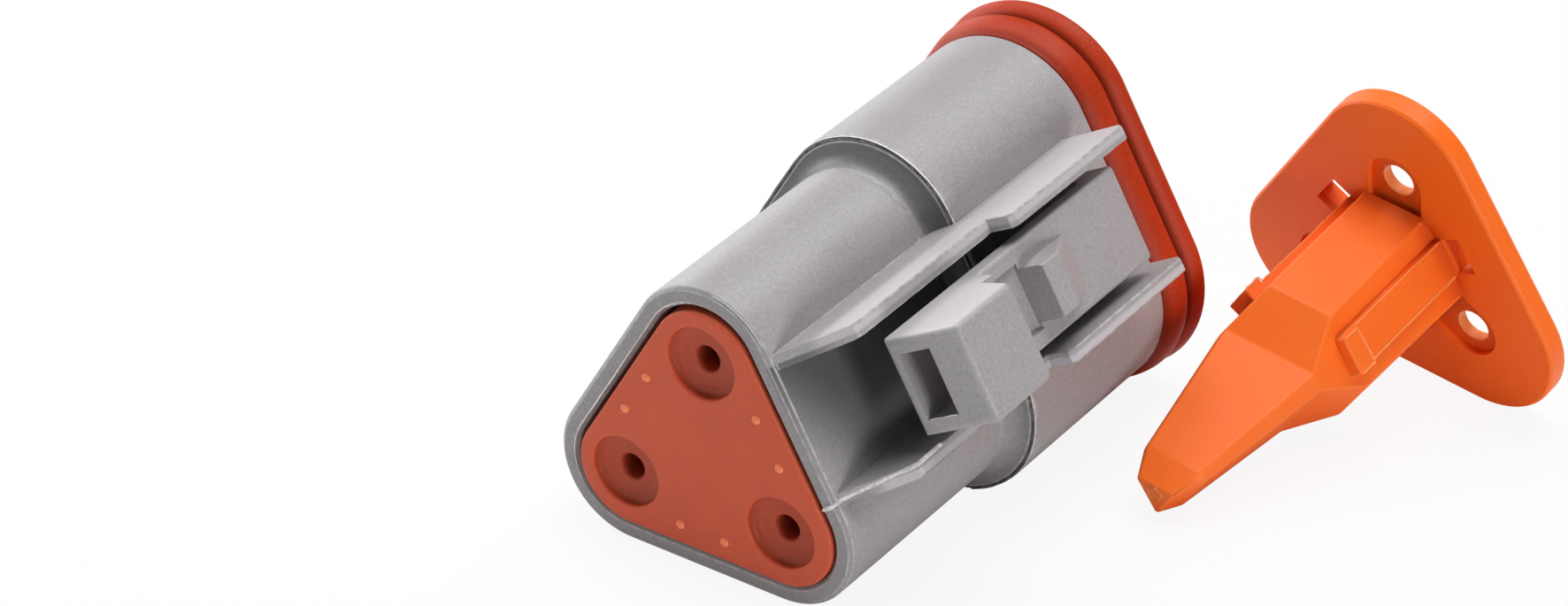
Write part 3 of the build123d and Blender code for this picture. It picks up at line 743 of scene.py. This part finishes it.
gate_rim = fin("gate_rim", "plug", on_wedge(torn), -AXIS @ WEDGE_TURN.T, height=0.07, thick=0.10, seed=51,
               least=0.35, closed=True)
print("gate scar about", round(float(reach.mean()) * 2, 2), "mm across")

# %% [markdown]
# ## Lips of the pin holes
# The three pin holes in the plate are what the eye looks through, so their rims must be truly round. A
# finer CAD mesh would do it too, but at the cost of every other face. Here a thin lip lines each hole: a
# small closed profile (radius, y) turned about the hole's axis. It stands a few hundredths of a millimetre
# proud of the hole's wall, as the skin of the plastic does round a core pin.

# %% Pin hole lips
LIP_INNER = 1.108
LIP = np.array((
    (1.19, 0.44), (1.155, 0.425), (1.125, 0.44), (1.11, 0.48), (LIP_INNER, 0.60), (LIP_INNER, 1.05),
    (1.112, 1.15), (1.13, 1.20), (1.19, 1.22), (1.23, 1.10), (1.23, 0.55)))
LIP_TURNS = 96

spin = np.linspace(0, 2 * np.pi, LIP_TURNS, endpoint=False)[None, :, None]
holes = LOBES[:, None, None]
lip_r, lip_y = LIP[None, None, :, 0], LIP[None, None, :, 1]
lip_points = np.stack([HOLE_REACH * np.cos(holes) + lip_r * np.cos(spin), lip_y + 0 * spin + 0 * holes,
                       HOLE_REACH * np.sin(holes) + lip_r * np.sin(spin)], -1)
lips = make_piece("pin_hole_lips", on_wedge(lip_points), repeated_faces(3, LIP_TURNS, len(LIP), True), 50)
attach(lips, "plug")
print("pin holes", 2 * LIP_INNER, "mm inside their lips")


# %% [markdown]
# ## Shader maths as plain expressions
# A finish is a formula over the surface. Its nodes could be placed and linked one by one, but that hides
# the formula. One small class wraps a node's output, so that sums and products can be written with the
# usual signs.

# %% A wire between nodes
class Wire:
    """An output of a node. Arithmetic on it adds Math nodes to the same finish."""

    def __init__(self, finish, socket):
        self.finish = finish
        self.socket = socket

    def math(self, operation, *values):
        """A Math node with these values or wires on its inputs, in order."""
        return self.finish.node("Math", {"operation": operation}, dict(enumerate(values)))

    def __add__(self, other):
        return self.math("ADD", self, other)

    def __sub__(self, other):
        return self.math("SUBTRACT", self, other)

    def __rsub__(self, other):
        return self.math("SUBTRACT", other, self)

    def __mul__(self, other):
        return self.math("MULTIPLY", self, other)

    __radd__ = __add__
    __rmul__ = __mul__

    def size(self):
        """The number without its sign."""
        return self.math("ABSOLUTE", self)

    def between(self, low, high):
        """0 below low, 1 above high and smooth in between."""
        ends = {0: self, 1: low, 2: high, 3: 0.0, 4: 1.0}
        return self.finish.node("MapRange", {"interpolation_type": "SMOOTHSTEP"}, ends)


# %% [markdown]
# ## A finish
# Each finish is one material with one Principled shader. Its method for nodes makes any of them from its
# type, its settings and its inputs. The others are what a maker asks of a surface: how far it lies along a
# direction, how far from an axis, how cloudy it is there, and how rough it feels. All of them read Object
# coordinates, so that a pattern keeps its scale in millimetres and stays on the piece when it moves.

# %% Finishes
class Finish:
    """A material with one Principled shader. Its methods add nodes and set or link the shader's sockets."""

    def __init__(self, name, **constants):
        self.material = bpy.data.materials.new(name)
        self.material.use_nodes = True
        self.tree = self.material.node_tree
        self.shader = next(n for n in self.tree.nodes if n.type == "BSDF_PRINCIPLED")
        for socket, value in constants.items():
            self.shader.inputs[socket.replace("_", " ")].default_value = value
        self.place = self.node("TexCoord", out="Object")

    def node(self, kind, settings=None, inputs=None, out=0):
        """A node of this kind: settings first, then values or wires into its sockets by name or number."""
        node = self.tree.nodes.new("ShaderNode" + kind)
        for key, value in (settings or {}).items():
            setattr(node, key, value)
        for key, value in (inputs or {}).items():
            if isinstance(value, Wire):
                self.tree.links.new(value.socket, node.inputs[key])
            else:
                node.inputs[key].default_value = value
        return Wire(self, node.outputs[out])

    def vector(self, operation, first, second=None, out=0):
        """A Vector Math node with one or two inputs."""
        inputs = {0: first} if second is None else {0: first, 1: second}
        return self.node("VectorMath", {"operation": operation}, inputs, out)

    def reach(self, direction, start=(0.0, 0.0, 0.0)):
        """How far the place lies along a direction, in millimetres from a start: the dot product of the
        two."""
        from_start = self.vector("SUBTRACT", self.place, tuple(c * MM for c in start))
        return self.vector("DOT_PRODUCT", from_start, tuple(c / MM for c in direction), "Value")

    def away(self, axis, start):
        """Distance in millimetres from a line: the length of the cross product with the line's direction."""
        from_start = self.vector("SUBTRACT", self.place, tuple(c * MM for c in start))
        across = self.vector("CROSS_PRODUCT", from_start, tuple(c / MM for c in axis))
        return self.vector("LENGTH", across, out="Value")

    def noise(self, size_mm, detail, rough, stretch=(1, 1, 1), seed=0.0):
        """Cloudy values about 0.5 whose patches are about size_mm across, longer where stretch is above 1.
        The seed moves the pattern, so that no two of them are alike."""
        scale = tuple(1.0 / (s * size_mm * MM) for s in stretch)
        scaled = self.node("Mapping", {"vector_type": "POINT"},
                           {"Vector": self.place, "Location": (seed, seed * 1.7, seed * 0.6), "Scale": scale})
        inputs = {"Vector": scaled, "Scale": 1.0, "Detail": detail, "Roughness": rough}
        return self.node("TexNoise", {}, inputs)

    def blend(self, amount, first, second):
        """Colour between two colours, each a wire or three numbers."""
        first, second = (c if isinstance(c, Wire) else (*c, 1.0) for c in (first, second))
        return self.node("Mix", {"data_type": "RGBA"}, {0: amount, 6: first, 7: second}, out=2)

    def feed(self, socket, wire):
        """Link a wire to a socket of the shader."""
        self.tree.links.new(wire.socket, self.shader.inputs[socket])

    def bump(self, height, depth_mm, strength):
        """Height from 0 to 1 turned into a relief of this depth."""
        relief = {"Height": height, "Distance": depth_mm * MM, "Strength": strength}
        self.feed("Normal", self.node("Bump", {}, relief))


def dress(faces, edges, *pieces):
    """First slot for the faces, second for the bevelled edges."""
    for piece in pieces:
        piece.data.materials.clear()
        piece.data.materials.append(faces.material)
        piece.data.materials.append(edges.material)


# %% [markdown]
# ## Grey housing plastic
# The housing is a glass-filled engineering plastic from a spark-eroded mould. Such a skin is satin: it
# scatters light with a very fine grain, it is a little uneven in shine where the melt flowed, and it has
# long faint streaks in the direction in which the mould opens. One noise can't be all of that, so each has
# its own: speckle finer than a tenth of a millimetre for the grain, and three larger ones that shift the
# colour a little.
#
# Hollows look darker than small lamps would make them, so the grey is painted darker there: painted shade.
# The outer sides of the rails and the thumb pad's upper side are painted paler: painted light. Those two
# are given by place, in functions of the finish, rather than by more lamps, which would spoil the rest.

# %% Grey plastic
def grey_plastic(name, dark, light, speckle, painted_shade=None, thin=None):
    """Grey between two tones: fine speckle, flow clouds and streaks along the plug. The argument after the
    speckle is a function of the finish that gives 0 in the open and up to 1 in a hollow, where the grey is
    painted darker: painted shade. The last one gives up to 1 where the grey is painted paler: painted light."""
    skin = Finish(name, IOR=1.52, Specular_IOR_Level=0.5)
    grain = skin.noise(0.075, 2.0, 0.7)
    cloud = skin.noise(4.0, 3.0, 0.5, seed=3.0)
    streak = skin.noise(0.6, 2.0, 0.5, stretch=(1, 40, 1), seed=7.0)
    fleck = skin.noise(0.20, 1.0, 0.5, seed=21.0)
    tone = ((grain - 0.5) * speckle + (fleck - 0.5) * speckle * 1.5 + (cloud - 0.5) * 0.25
            + (streak - 0.5) * 0.12 + 0.5)
    body = skin.blend(tone, dark, light)
    # Painted shade: towards a dark grey where the function gives 1.
    if painted_shade is not None:
        body = skin.blend(painted_shade(skin), body, tuple(0.12 * c for c in dark))
    # Painted light: towards a paler grey where the last function gives 1.
    if thin is not None:
        body = skin.blend(thin(skin), body, tuple(1.42 * c for c in light))
    skin.feed("Base Color", body)
    skin.feed("Roughness", (cloud - 0.5) * 0.14 + (streak - 0.5) * 0.10 + (grain - 0.5) * 0.10 + 0.42)
    skin.bump(grain, 0.012, 0.5)
    return skin


def painted_shade_under_latch(skin):
    """Painted shade in the channel between the rails: more towards the upper rail and away from the wire end.
    The wire end's rim is painted a little darker too: painted shade."""
    y = skin.reach(AXIS)
    out = skin.reach(LATCH_OUT)
    aside = skin.reach(LATCH_SIDE)
    inside = (1 - aside.size().between(4.35, 4.50)) * out.between(7.6, 8.0) * (1 - y.between(22.0, 26.0))
    rim = (1 - y.between(0.05, 0.45)) * 0.20
    return inside * (y + aside * 0.8).between(-2.6, 6.0) * (1 - out.between(9.4, 12.2)) * 0.72 + rim


def painted_shade_in_cove(skin):
    """Painted shade from the start of the hollow rounding to the rim, more on the upper side."""
    return skin.reach(AXIS).between(16.0, 16.9) * (skin.reach((0, 0, 1)).between(-6.0, 9.0) * 0.50 + 0.16)


def painted_light_rails(skin):
    """Painted light on the outer sides of the two guard rails, from a little above their feet."""
    above_feet = skin.reach(LATCH_OUT).between(9.95, 10.9)
    return above_feet * skin.reach(LATCH_SIDE).size().between(4.35, 4.50) * 0.62


def painted_light_pad_side(skin):
    """Painted light on the thumb pad's upper side, whose wall beside the tunnel is thin."""
    return skin.reach(LATCH_SIDE).between(3.02, 3.12) * (1 - skin.reach(AXIS).between(10.5, 13.0)) * 0.62


GREY_DARK = (0.305, 0.290, 0.300)
GREY_LIGHT = (0.445, 0.425, 0.437)
grey = grey_plastic("grey_plastic", GREY_DARK, GREY_LIGHT, 0.80, painted_shade_under_latch, painted_light_rails)
grey_latch = grey_plastic("grey_latch", GREY_DARK, GREY_LIGHT, 0.80, None, painted_light_pad_side)
# A copy of the grey with painted shade, for the faces of the cove.
grey_painted_shade_cove = grey_plastic("grey_painted_shade_cove", GREY_DARK, GREY_LIGHT, 0.85, painted_shade_in_cove)
print("grey plastic", len(grey.tree.nodes), "nodes")

# %% [markdown]
# ### Faces of the cove
# Behind the step the body swells in a hollow rounding, and its deep part is in shade. A shader could find
# that part by place alone, but the section's three lobes make that a long formula. So the faces are picked
# here, and take a third material, a copy of the grey with painted shade: they lie just before the step in y,
# and between two distances from the triangle of lobe centres. The distance from a point to a triangle is
# the least of its distances to the three sides.

# %% Cove faces
COVE_SLOT = 2
COVE_START_Y = 16.0
COVE_NEAR, COVE_FAR = 4.9, 6.42  # distances from the triangle of lobe centres


def lobe_reach(points):
    """Distance from the triangle of lobe centres, in millimetres: nearest point on each side, then the
    least."""
    flat = points[:, [0, 2]]
    start = LOBE_C * np.stack([np.cos(LOBES), np.sin(LOBES)], -1)
    side = np.roll(start, -1, 0) - start
    share = np.clip(((flat[:, None] - start) * side).sum(-1) / (side * side).sum(-1), 0, 1)
    return np.linalg.norm(flat[:, None] - start - share[..., None] * side, axis=-1).min(1)


middles = read(housing.data.polygons, "center", 3) / MM
slots = read(housing.data.polygons, "material_index", kind=np.int32)
before_step = (middles[:, 1] > COVE_START_Y) & (middles[:, 1] < STEP_Y + 0.01)
in_hollow = before_step & (lobe_reach(middles) < COVE_FAR) & (lobe_reach(middles) > COVE_NEAR)
cove_slots = np.where(in_hollow, COVE_SLOT, slots).astype(np.int32)
print(int(in_hollow.sum()), "faces in the cove")

# %% [markdown]
# ### Paler edges
# Handling and trimming bruise the edges, so an edge is a little paler, and the paler colour also stands in
# for the thin line of light that a small rounding catches: partly wear, partly painted highlight. A mask of
# sharp edges could be worked out in the shader, but the bevel's own faces are already there, and take this
# finish. A noise lets the plain grey through in places, which keeps the line from looking drawn.
# The flash is the same plastic, thinner and paler still, and the dark line at the step is painted shadow.

# %% Edge and flash finishes
def patchy(name, size_mm, seed, ends, dark, light, uneven, rough, shine=0.5):
    """Two tones in soft patches: the noise's value between the two ends says which, and it moves the
    roughness as well, by its distance from a half times the uneven share."""
    skin = Finish(name, IOR=1.5, Specular_IOR_Level=shine)
    patch = skin.noise(size_mm, 3.0, 0.6, seed=seed)
    skin.feed("Base Color", skin.blend(patch.between(*ends), dark, light))
    skin.feed("Roughness", (patch - 0.5) * uneven + rough)
    return skin


# The edges' paler tones: partly wear, partly painted highlight.
grey_edge = patchy("grey_edge", 0.5, 12.0, (0.38, 0.62), (0.345, 0.33, 0.34), (0.475, 0.46, 0.466), 0.2, 0.40)
grey_fin = patchy("grey_flash", 0.3, 15.0, (0.3, 0.7), (0.62, 0.60, 0.59), (0.90, 0.88, 0.86), 0.3, 0.45)
# Near black: the painted shadow line at the step.
painted_shadow_grey = patchy("grey_painted_shadow", 0.4, 18.0, (0.35, 0.65), (0.05, 0.047, 0.05), (0.20, 0.19, 0.195), 0.2,
                     0.6, shine=0.3)
dress(grey, grey_edge, housing)
dress(grey_latch, grey_edge, lever)
housing.data.materials.append(grey_painted_shade_cove.material)
housing.data.polygons.foreach_set("material_index", cove_slots)
dress(painted_shadow_grey, painted_shadow_grey, rim_painted_shadow)
dress(grey_edge, grey_edge, rail_line, upper_line)
dress(grey_fin, grey_fin, rim_flash, rail_flash, mouth_flash, edge_flash, tunnel_flash)
print("edge finishes", grey_edge.material.name, grey_fin.material.name, painted_shadow_grey.material.name)

# %% [markdown]
# ## Silicone
# Silicone rubber is a deep orange red and a little greasy, so it has a broad soft shine. Oil bleeds out of
# it unevenly, which shows as clouds in the roughness, and a fine dust of pale specks sticks to it. A plain
# colour with a little gloss would look like paint, so the same three kinds of noise move its tone, its
# shine and its relief. The two seals have their own tones. The dots are painted paler and more orange, a
# painted highlight, and the seals' hollows are painted darker: painted shade.

# %% Silicone
DUST = (0.62, 0.30, 0.22)


def rubber(name, dark, light, shine, painted_shade=None):
    """Orange red between two tones, with dust specks where a fine noise peaks. The last argument is a
    function of the finish that gives where the rubber is painted darker: painted shade, as for the grey
    plastic."""
    skin = Finish(name, IOR=1.42, Specular_IOR_Level=shine)
    cloud = skin.noise(2.6, 3.0, 0.5, seed=1.0)
    fine = skin.noise(0.16, 2.0, 0.7, seed=2.0)
    speck = skin.noise(0.16, 1.0, 0.5, seed=6.0).between(0.70, 0.80)
    tone = (cloud - 0.5) * 0.5 + (fine - 0.5) * 1.3 + 0.5
    body = skin.blend(tone, dark, light)
    # Painted shade: towards a dark red where the function gives 1.
    if painted_shade is not None:
        body = skin.blend(painted_shade(skin), body, tuple(0.30 * c for c in dark))
    skin.feed("Base Color", skin.blend(speck * 0.25, body, DUST))
    skin.feed("Roughness", (cloud - 0.5) * 0.18 + (fine - 0.5) * 0.12 + 0.45)
    skin.bump(fine, 0.010, 0.45)
    return skin


def painted_shade_in_dishes(skin):
    """Painted shade behind the wire seal's face: most on the dish's steep wall, less on its floor, and again
    in the holes."""
    y = skin.reach(AXIS)
    return y.between(-0.12, 0.10) * (0.46 - y.between(0.28, 0.50) * 0.14) + y.between(0.60, 2.5) * 0.4


def painted_shade_in_grooves(skin):
    """Painted shade in the groove between the front seal's ribs, and where it meets the plug's shoulder."""
    y = skin.reach(AXIS)
    groove_y = RIB_REAR_Y + 0.84
    return (1 - (y - groove_y).size().between(0.12, 0.42)) * 0.62 + (1 - y.between(32.60, 33.30)) * 0.5


seal_rubber = rubber("seal_silicone", (0.370, 0.023, 0.004), (0.540, 0.052, 0.011), 0.26, painted_shade_in_grooves)
wire_rubber = rubber("orange_silicone", (0.560, 0.080, 0.032), (0.730, 0.124, 0.056), 0.35, painted_shade_in_dishes)
# Painted highlight: the dots are much paler than the face they stand on.
dot_rubber = rubber("silicone_dots_painted_light", (0.95, 0.21, 0.08), (1.00, 0.29, 0.13), 0.5)
dress(seal_rubber, seal_rubber, seal)
dress(wire_rubber, wire_rubber, grommet)
dress(dot_rubber, dot_rubber, dots)
print("silicone", len(wire_rubber.tree.nodes), "nodes")

# %% [markdown]
# ## Orange wedge plastic
# The wedge is unfilled and bright orange, and light travels a little way into it. Its thin edges glow, and
# the shaded sides stay warm. A paler colour could imitate that, but subsurface scattering does it by
# itself, with red travelling furthest. The corner where the blade meets the plate, and the hollows round
# the pin holes, are painted darker by place: painted shade, like the hollows of the housing.

# %% Wedge plastic
SHADED_ORANGE = (0.42, 0.022, 0.001)


def wedge_plastic(name, dark, light, painted_shade=None):
    """Bright orange between two tones, slightly see-through, with fine grain and broad clouds."""
    skin = Finish(name, IOR=1.49, Specular_IOR_Level=0.30, Subsurface_Weight=0.12, Subsurface_Scale=0.0015)
    skin.shader.inputs["Subsurface Radius"].default_value = (1.0, 0.35, 0.12)
    grain = skin.noise(0.15, 2.0, 0.7, seed=5.0)
    cloud = skin.noise(3.5, 3.0, 0.5, seed=9.0)
    tone = (grain - 0.5) * 1.2 + (cloud - 0.5) * 0.35 + 0.5
    body = skin.blend(tone, dark, light)
    # Painted shade: towards a dark orange where the function gives 1.
    if painted_shade is not None:
        body = skin.blend(painted_shade(skin), body, SHADED_ORANGE)
    skin.feed("Base Color", body)
    skin.feed("Roughness", (cloud - 0.5) * 0.16 + (grain - 0.5) * 0.12 + 0.44)
    skin.bump(grain, 0.010, 0.45)
    return skin


def painted_shade_near_root(skin):
    """Painted shade where the blade meets the plate, on both, and in the hollows round the pin holes."""
    own_y = skin.reach(WEDGE_TURN[:, 1], WEDGE_MOVE)
    far = skin.away(WEDGE_TURN[:, 1], WEDGE_MOVE)
    blade = own_y.between(-1.7, -0.1) * (1 - own_y.between(-0.04, 0.0)) * 0.42
    plate = own_y.between(-0.04, 0.0) * (1 - own_y.between(0.04, 0.08)) * (1 - far.between(3.9, 6.2)) * 0.6
    hollow = own_y.between(0.04, 0.40) * (1 - own_y.between(0.50, 0.60)) * (1 - far.between(8.5, 8.9)) * 0.30
    return blade + plate + hollow


orange = wedge_plastic("wedge_plastic", (0.98, 0.128, 0.005), (1.00, 0.200, 0.022), painted_shade_near_root)
# A little paler than the faces: partly wear, partly painted highlight.
orange_edge = wedge_plastic("wedge_edge", (0.98, 0.138, 0.008), (1.00, 0.220, 0.030))
orange_fin = wedge_plastic("wedge_flash", (1.00, 0.26, 0.07), (1.00, 0.36, 0.12))
dress(orange, orange_edge, wedge)
dress(orange_edge, orange_edge, gate)
# The pin holes' lips take the paler flash orange: a painted glow round each hole's rim.
dress(orange_fin, orange_fin, lips, gate_rim, *wedge_fins)
print("wedge plastic", len(orange.tree.nodes), "nodes")

# %% [markdown]
# ## The three named finishes
# The record lists three finishes: the grey plastic, the orange silicone and the orange plastic. Here each
# piece carries only its own materials, and none says which of the three it takes.

# %% [markdown]
# ## Floor
# The plug rests on the edge of its wire end and on its front seal, so in its own frame the table is a plane
# that falls by 3.7 degrees towards the mating face. Turning the plug would level it, but the plug is the
# frame, so the table slopes instead. It is white paper. Only the camera sees it brightened, so that it
# doesn't throw extra light on the plug, and it keeps a faint shadow.

# %% Floor
FLOOR_HALF = 600  # mm from the middle to the floor's edge
FLOOR_POINTS = 25
FLOOR_GAP = 0.005  # mm that the plug stands clear of it
TOUCH_Y = 0.25  # where the wire end's bevelled rim comes nearest to it
SEEN_WHITE = 0.90  # share of plain white in what the camera sees of it

line = np.linspace(-FLOOR_HALF, FLOOR_HALF, FLOOR_POINTS)
floor_x, floor_y = np.meshgrid(line, line, indexing="ij")
floor_z = -(LOBE_C / 2 + REAR_R) - FLOOR_GAP - (floor_y - TOUCH_Y) * math.tan(math.radians(TABLE_FALL))
floor = make_piece("floor", np.stack([floor_x, floor_y, floor_z], -1), grid_faces(FLOOR_POINTS, FLOOR_POINTS))
paper = Finish("white_table", Specular_IOR_Level=0.1)
paper.shader.inputs["Base Color"].default_value = (0.80, 0.80, 0.80, 1)
paper.shader.inputs["Roughness"].default_value = 0.8
white = paper.node("Emission", {}, {"Color": (1, 1, 1, 1), "Strength": 1.0})
seen = paper.node("LightPath", out="Is Camera Ray")
lit = Wire(paper, paper.shader.outputs[0])
mixed = paper.node("MixShader", {}, {0: seen * SEEN_WHITE, 1: lit, 2: white})
output = next(n for n in paper.tree.nodes if n.type == "OUTPUT_MATERIAL")
paper.tree.links.new(mixed.socket, output.inputs["Surface"])
floor.data.materials.append(paper.material)
print("floor falls", round(TABLE_FALL, 2), "degrees")

# %% [markdown]
# ## White walls
# A studio for such pictures has white walls all round. Building them would cost light paths, so the world
# is those walls: a weak even light on the plug, and plain white where the camera sees it.

# %% World
WALL_LIGHT = 0.08

world = bpy.data.worlds.new("studio")
bpy.context.scene.world = world
world.use_nodes = True
tree = world.node_tree
tree.nodes.clear()
path = tree.nodes.new("ShaderNodeLightPath")
walls = tree.nodes.new("ShaderNodeBackground")
backdrop = tree.nodes.new("ShaderNodeBackground")
mix = tree.nodes.new("ShaderNodeMixShader")
out = tree.nodes.new("ShaderNodeOutputWorld")
for background, strength in ((walls, WALL_LIGHT), (backdrop, 1.0)):
    background.inputs["Color"].default_value = (1, 1, 1, 1)
    background.inputs["Strength"].default_value = strength
tree.links.new(path.outputs["Is Camera Ray"], mix.inputs[0])
tree.links.new(walls.outputs[0], mix.inputs[1])
tree.links.new(backdrop.outputs[0], mix.inputs[2])
tree.links.new(mix.outputs[0], out.inputs["Surface"])
print("walls give", WALL_LIGHT, "of the backdrop's light")

# %% [markdown]
# ## Light
# The photograph's light is soft and comes mostly from above and from the left. One large lamp could stand
# for it, but then the shaded faces would all look alike. Seven do: one above and a key light up on the
# left, two behind that light the cove and the flat on the left, one low on the left, and two low ones, on
# the right for the rails and in front for the seal's face and the wedge's tip.

# %% Lamps
AIM = (8, 22, 0)  # between the plug and the wedge


def lamp(name, place, size, power):
    """Square soft light at a place in millimetres, aimed between the plug and the wedge."""
    data = bpy.data.lights.new(name, "AREA")
    data.shape = "SQUARE"
    data.size = size * MM
    data.energy = power
    light = bpy.data.objects.new(name, data)
    light.location = Vector(place) * MM
    light.rotation_euler = (Vector(AIM) - Vector(place)).to_track_quat("-Z", "Y").to_euler()
    bpy.context.scene.collection.objects.link(light)


lamp("top", (60, 60, 460), size=240, power=1.21)
lamp("key", (-230, 80, 380), size=260, power=0.71)
lamp("back top", (20, 330, 360), size=220, power=0.47)
lamp("back low", (-330, 230, 90), size=160, power=0.26)
lamp("left", (-420, 0, 120), size=240, power=0.78)
lamp("low right", (350, -90, 55), size=100, power=0.47)
lamp("low front", (-100, -380, 70), size=120, power=0.13)

# %% [markdown]
# ## Camera
# The camera's place could be tried by eye, but the plug's known outline and hole spacing give it: they
# match the photograph from about 29 cm away, 35 degrees round from the wire end and 32 degrees up, with a
# lens of 108 mm. Three directions say how it is turned: to the right in the picture, down in it, and ahead
# into it.

# %% Camera
RIGHT = (0.82175, 0.56985, -0.00067)
DOWN = (0.30482, -0.44055, -0.84440)
AHEAD = (-0.48148, 0.69367, -0.53572)

lens = bpy.data.cameras.new("camera")
lens.sensor_width = 36.0
lens.lens = 107.66
lens.clip_start = 0.01
lens.clip_end = 10.0
camera = bpy.data.objects.new("camera", lens)
facing = Matrix((RIGHT, [-c for c in DOWN], [-c for c in AHEAD])).transposed()
camera.matrix_world = Matrix.Translation(Vector((133.22, -183.64, 154.48)) * MM) @ facing.to_4x4()
bpy.context.scene.collection.objects.link(camera)
bpy.context.scene.camera = camera
bpy.context.scene.view_settings.view_transform = "Standard"
print("camera at", [round(c / MM, 1) for c in camera.location], "mm")

# %% [markdown]
# ## Finish
# Last, the view layer is brought up to date. Dressing a part may not change its size.

# %% Bring the view layer up to date
bpy.context.view_layer.update()
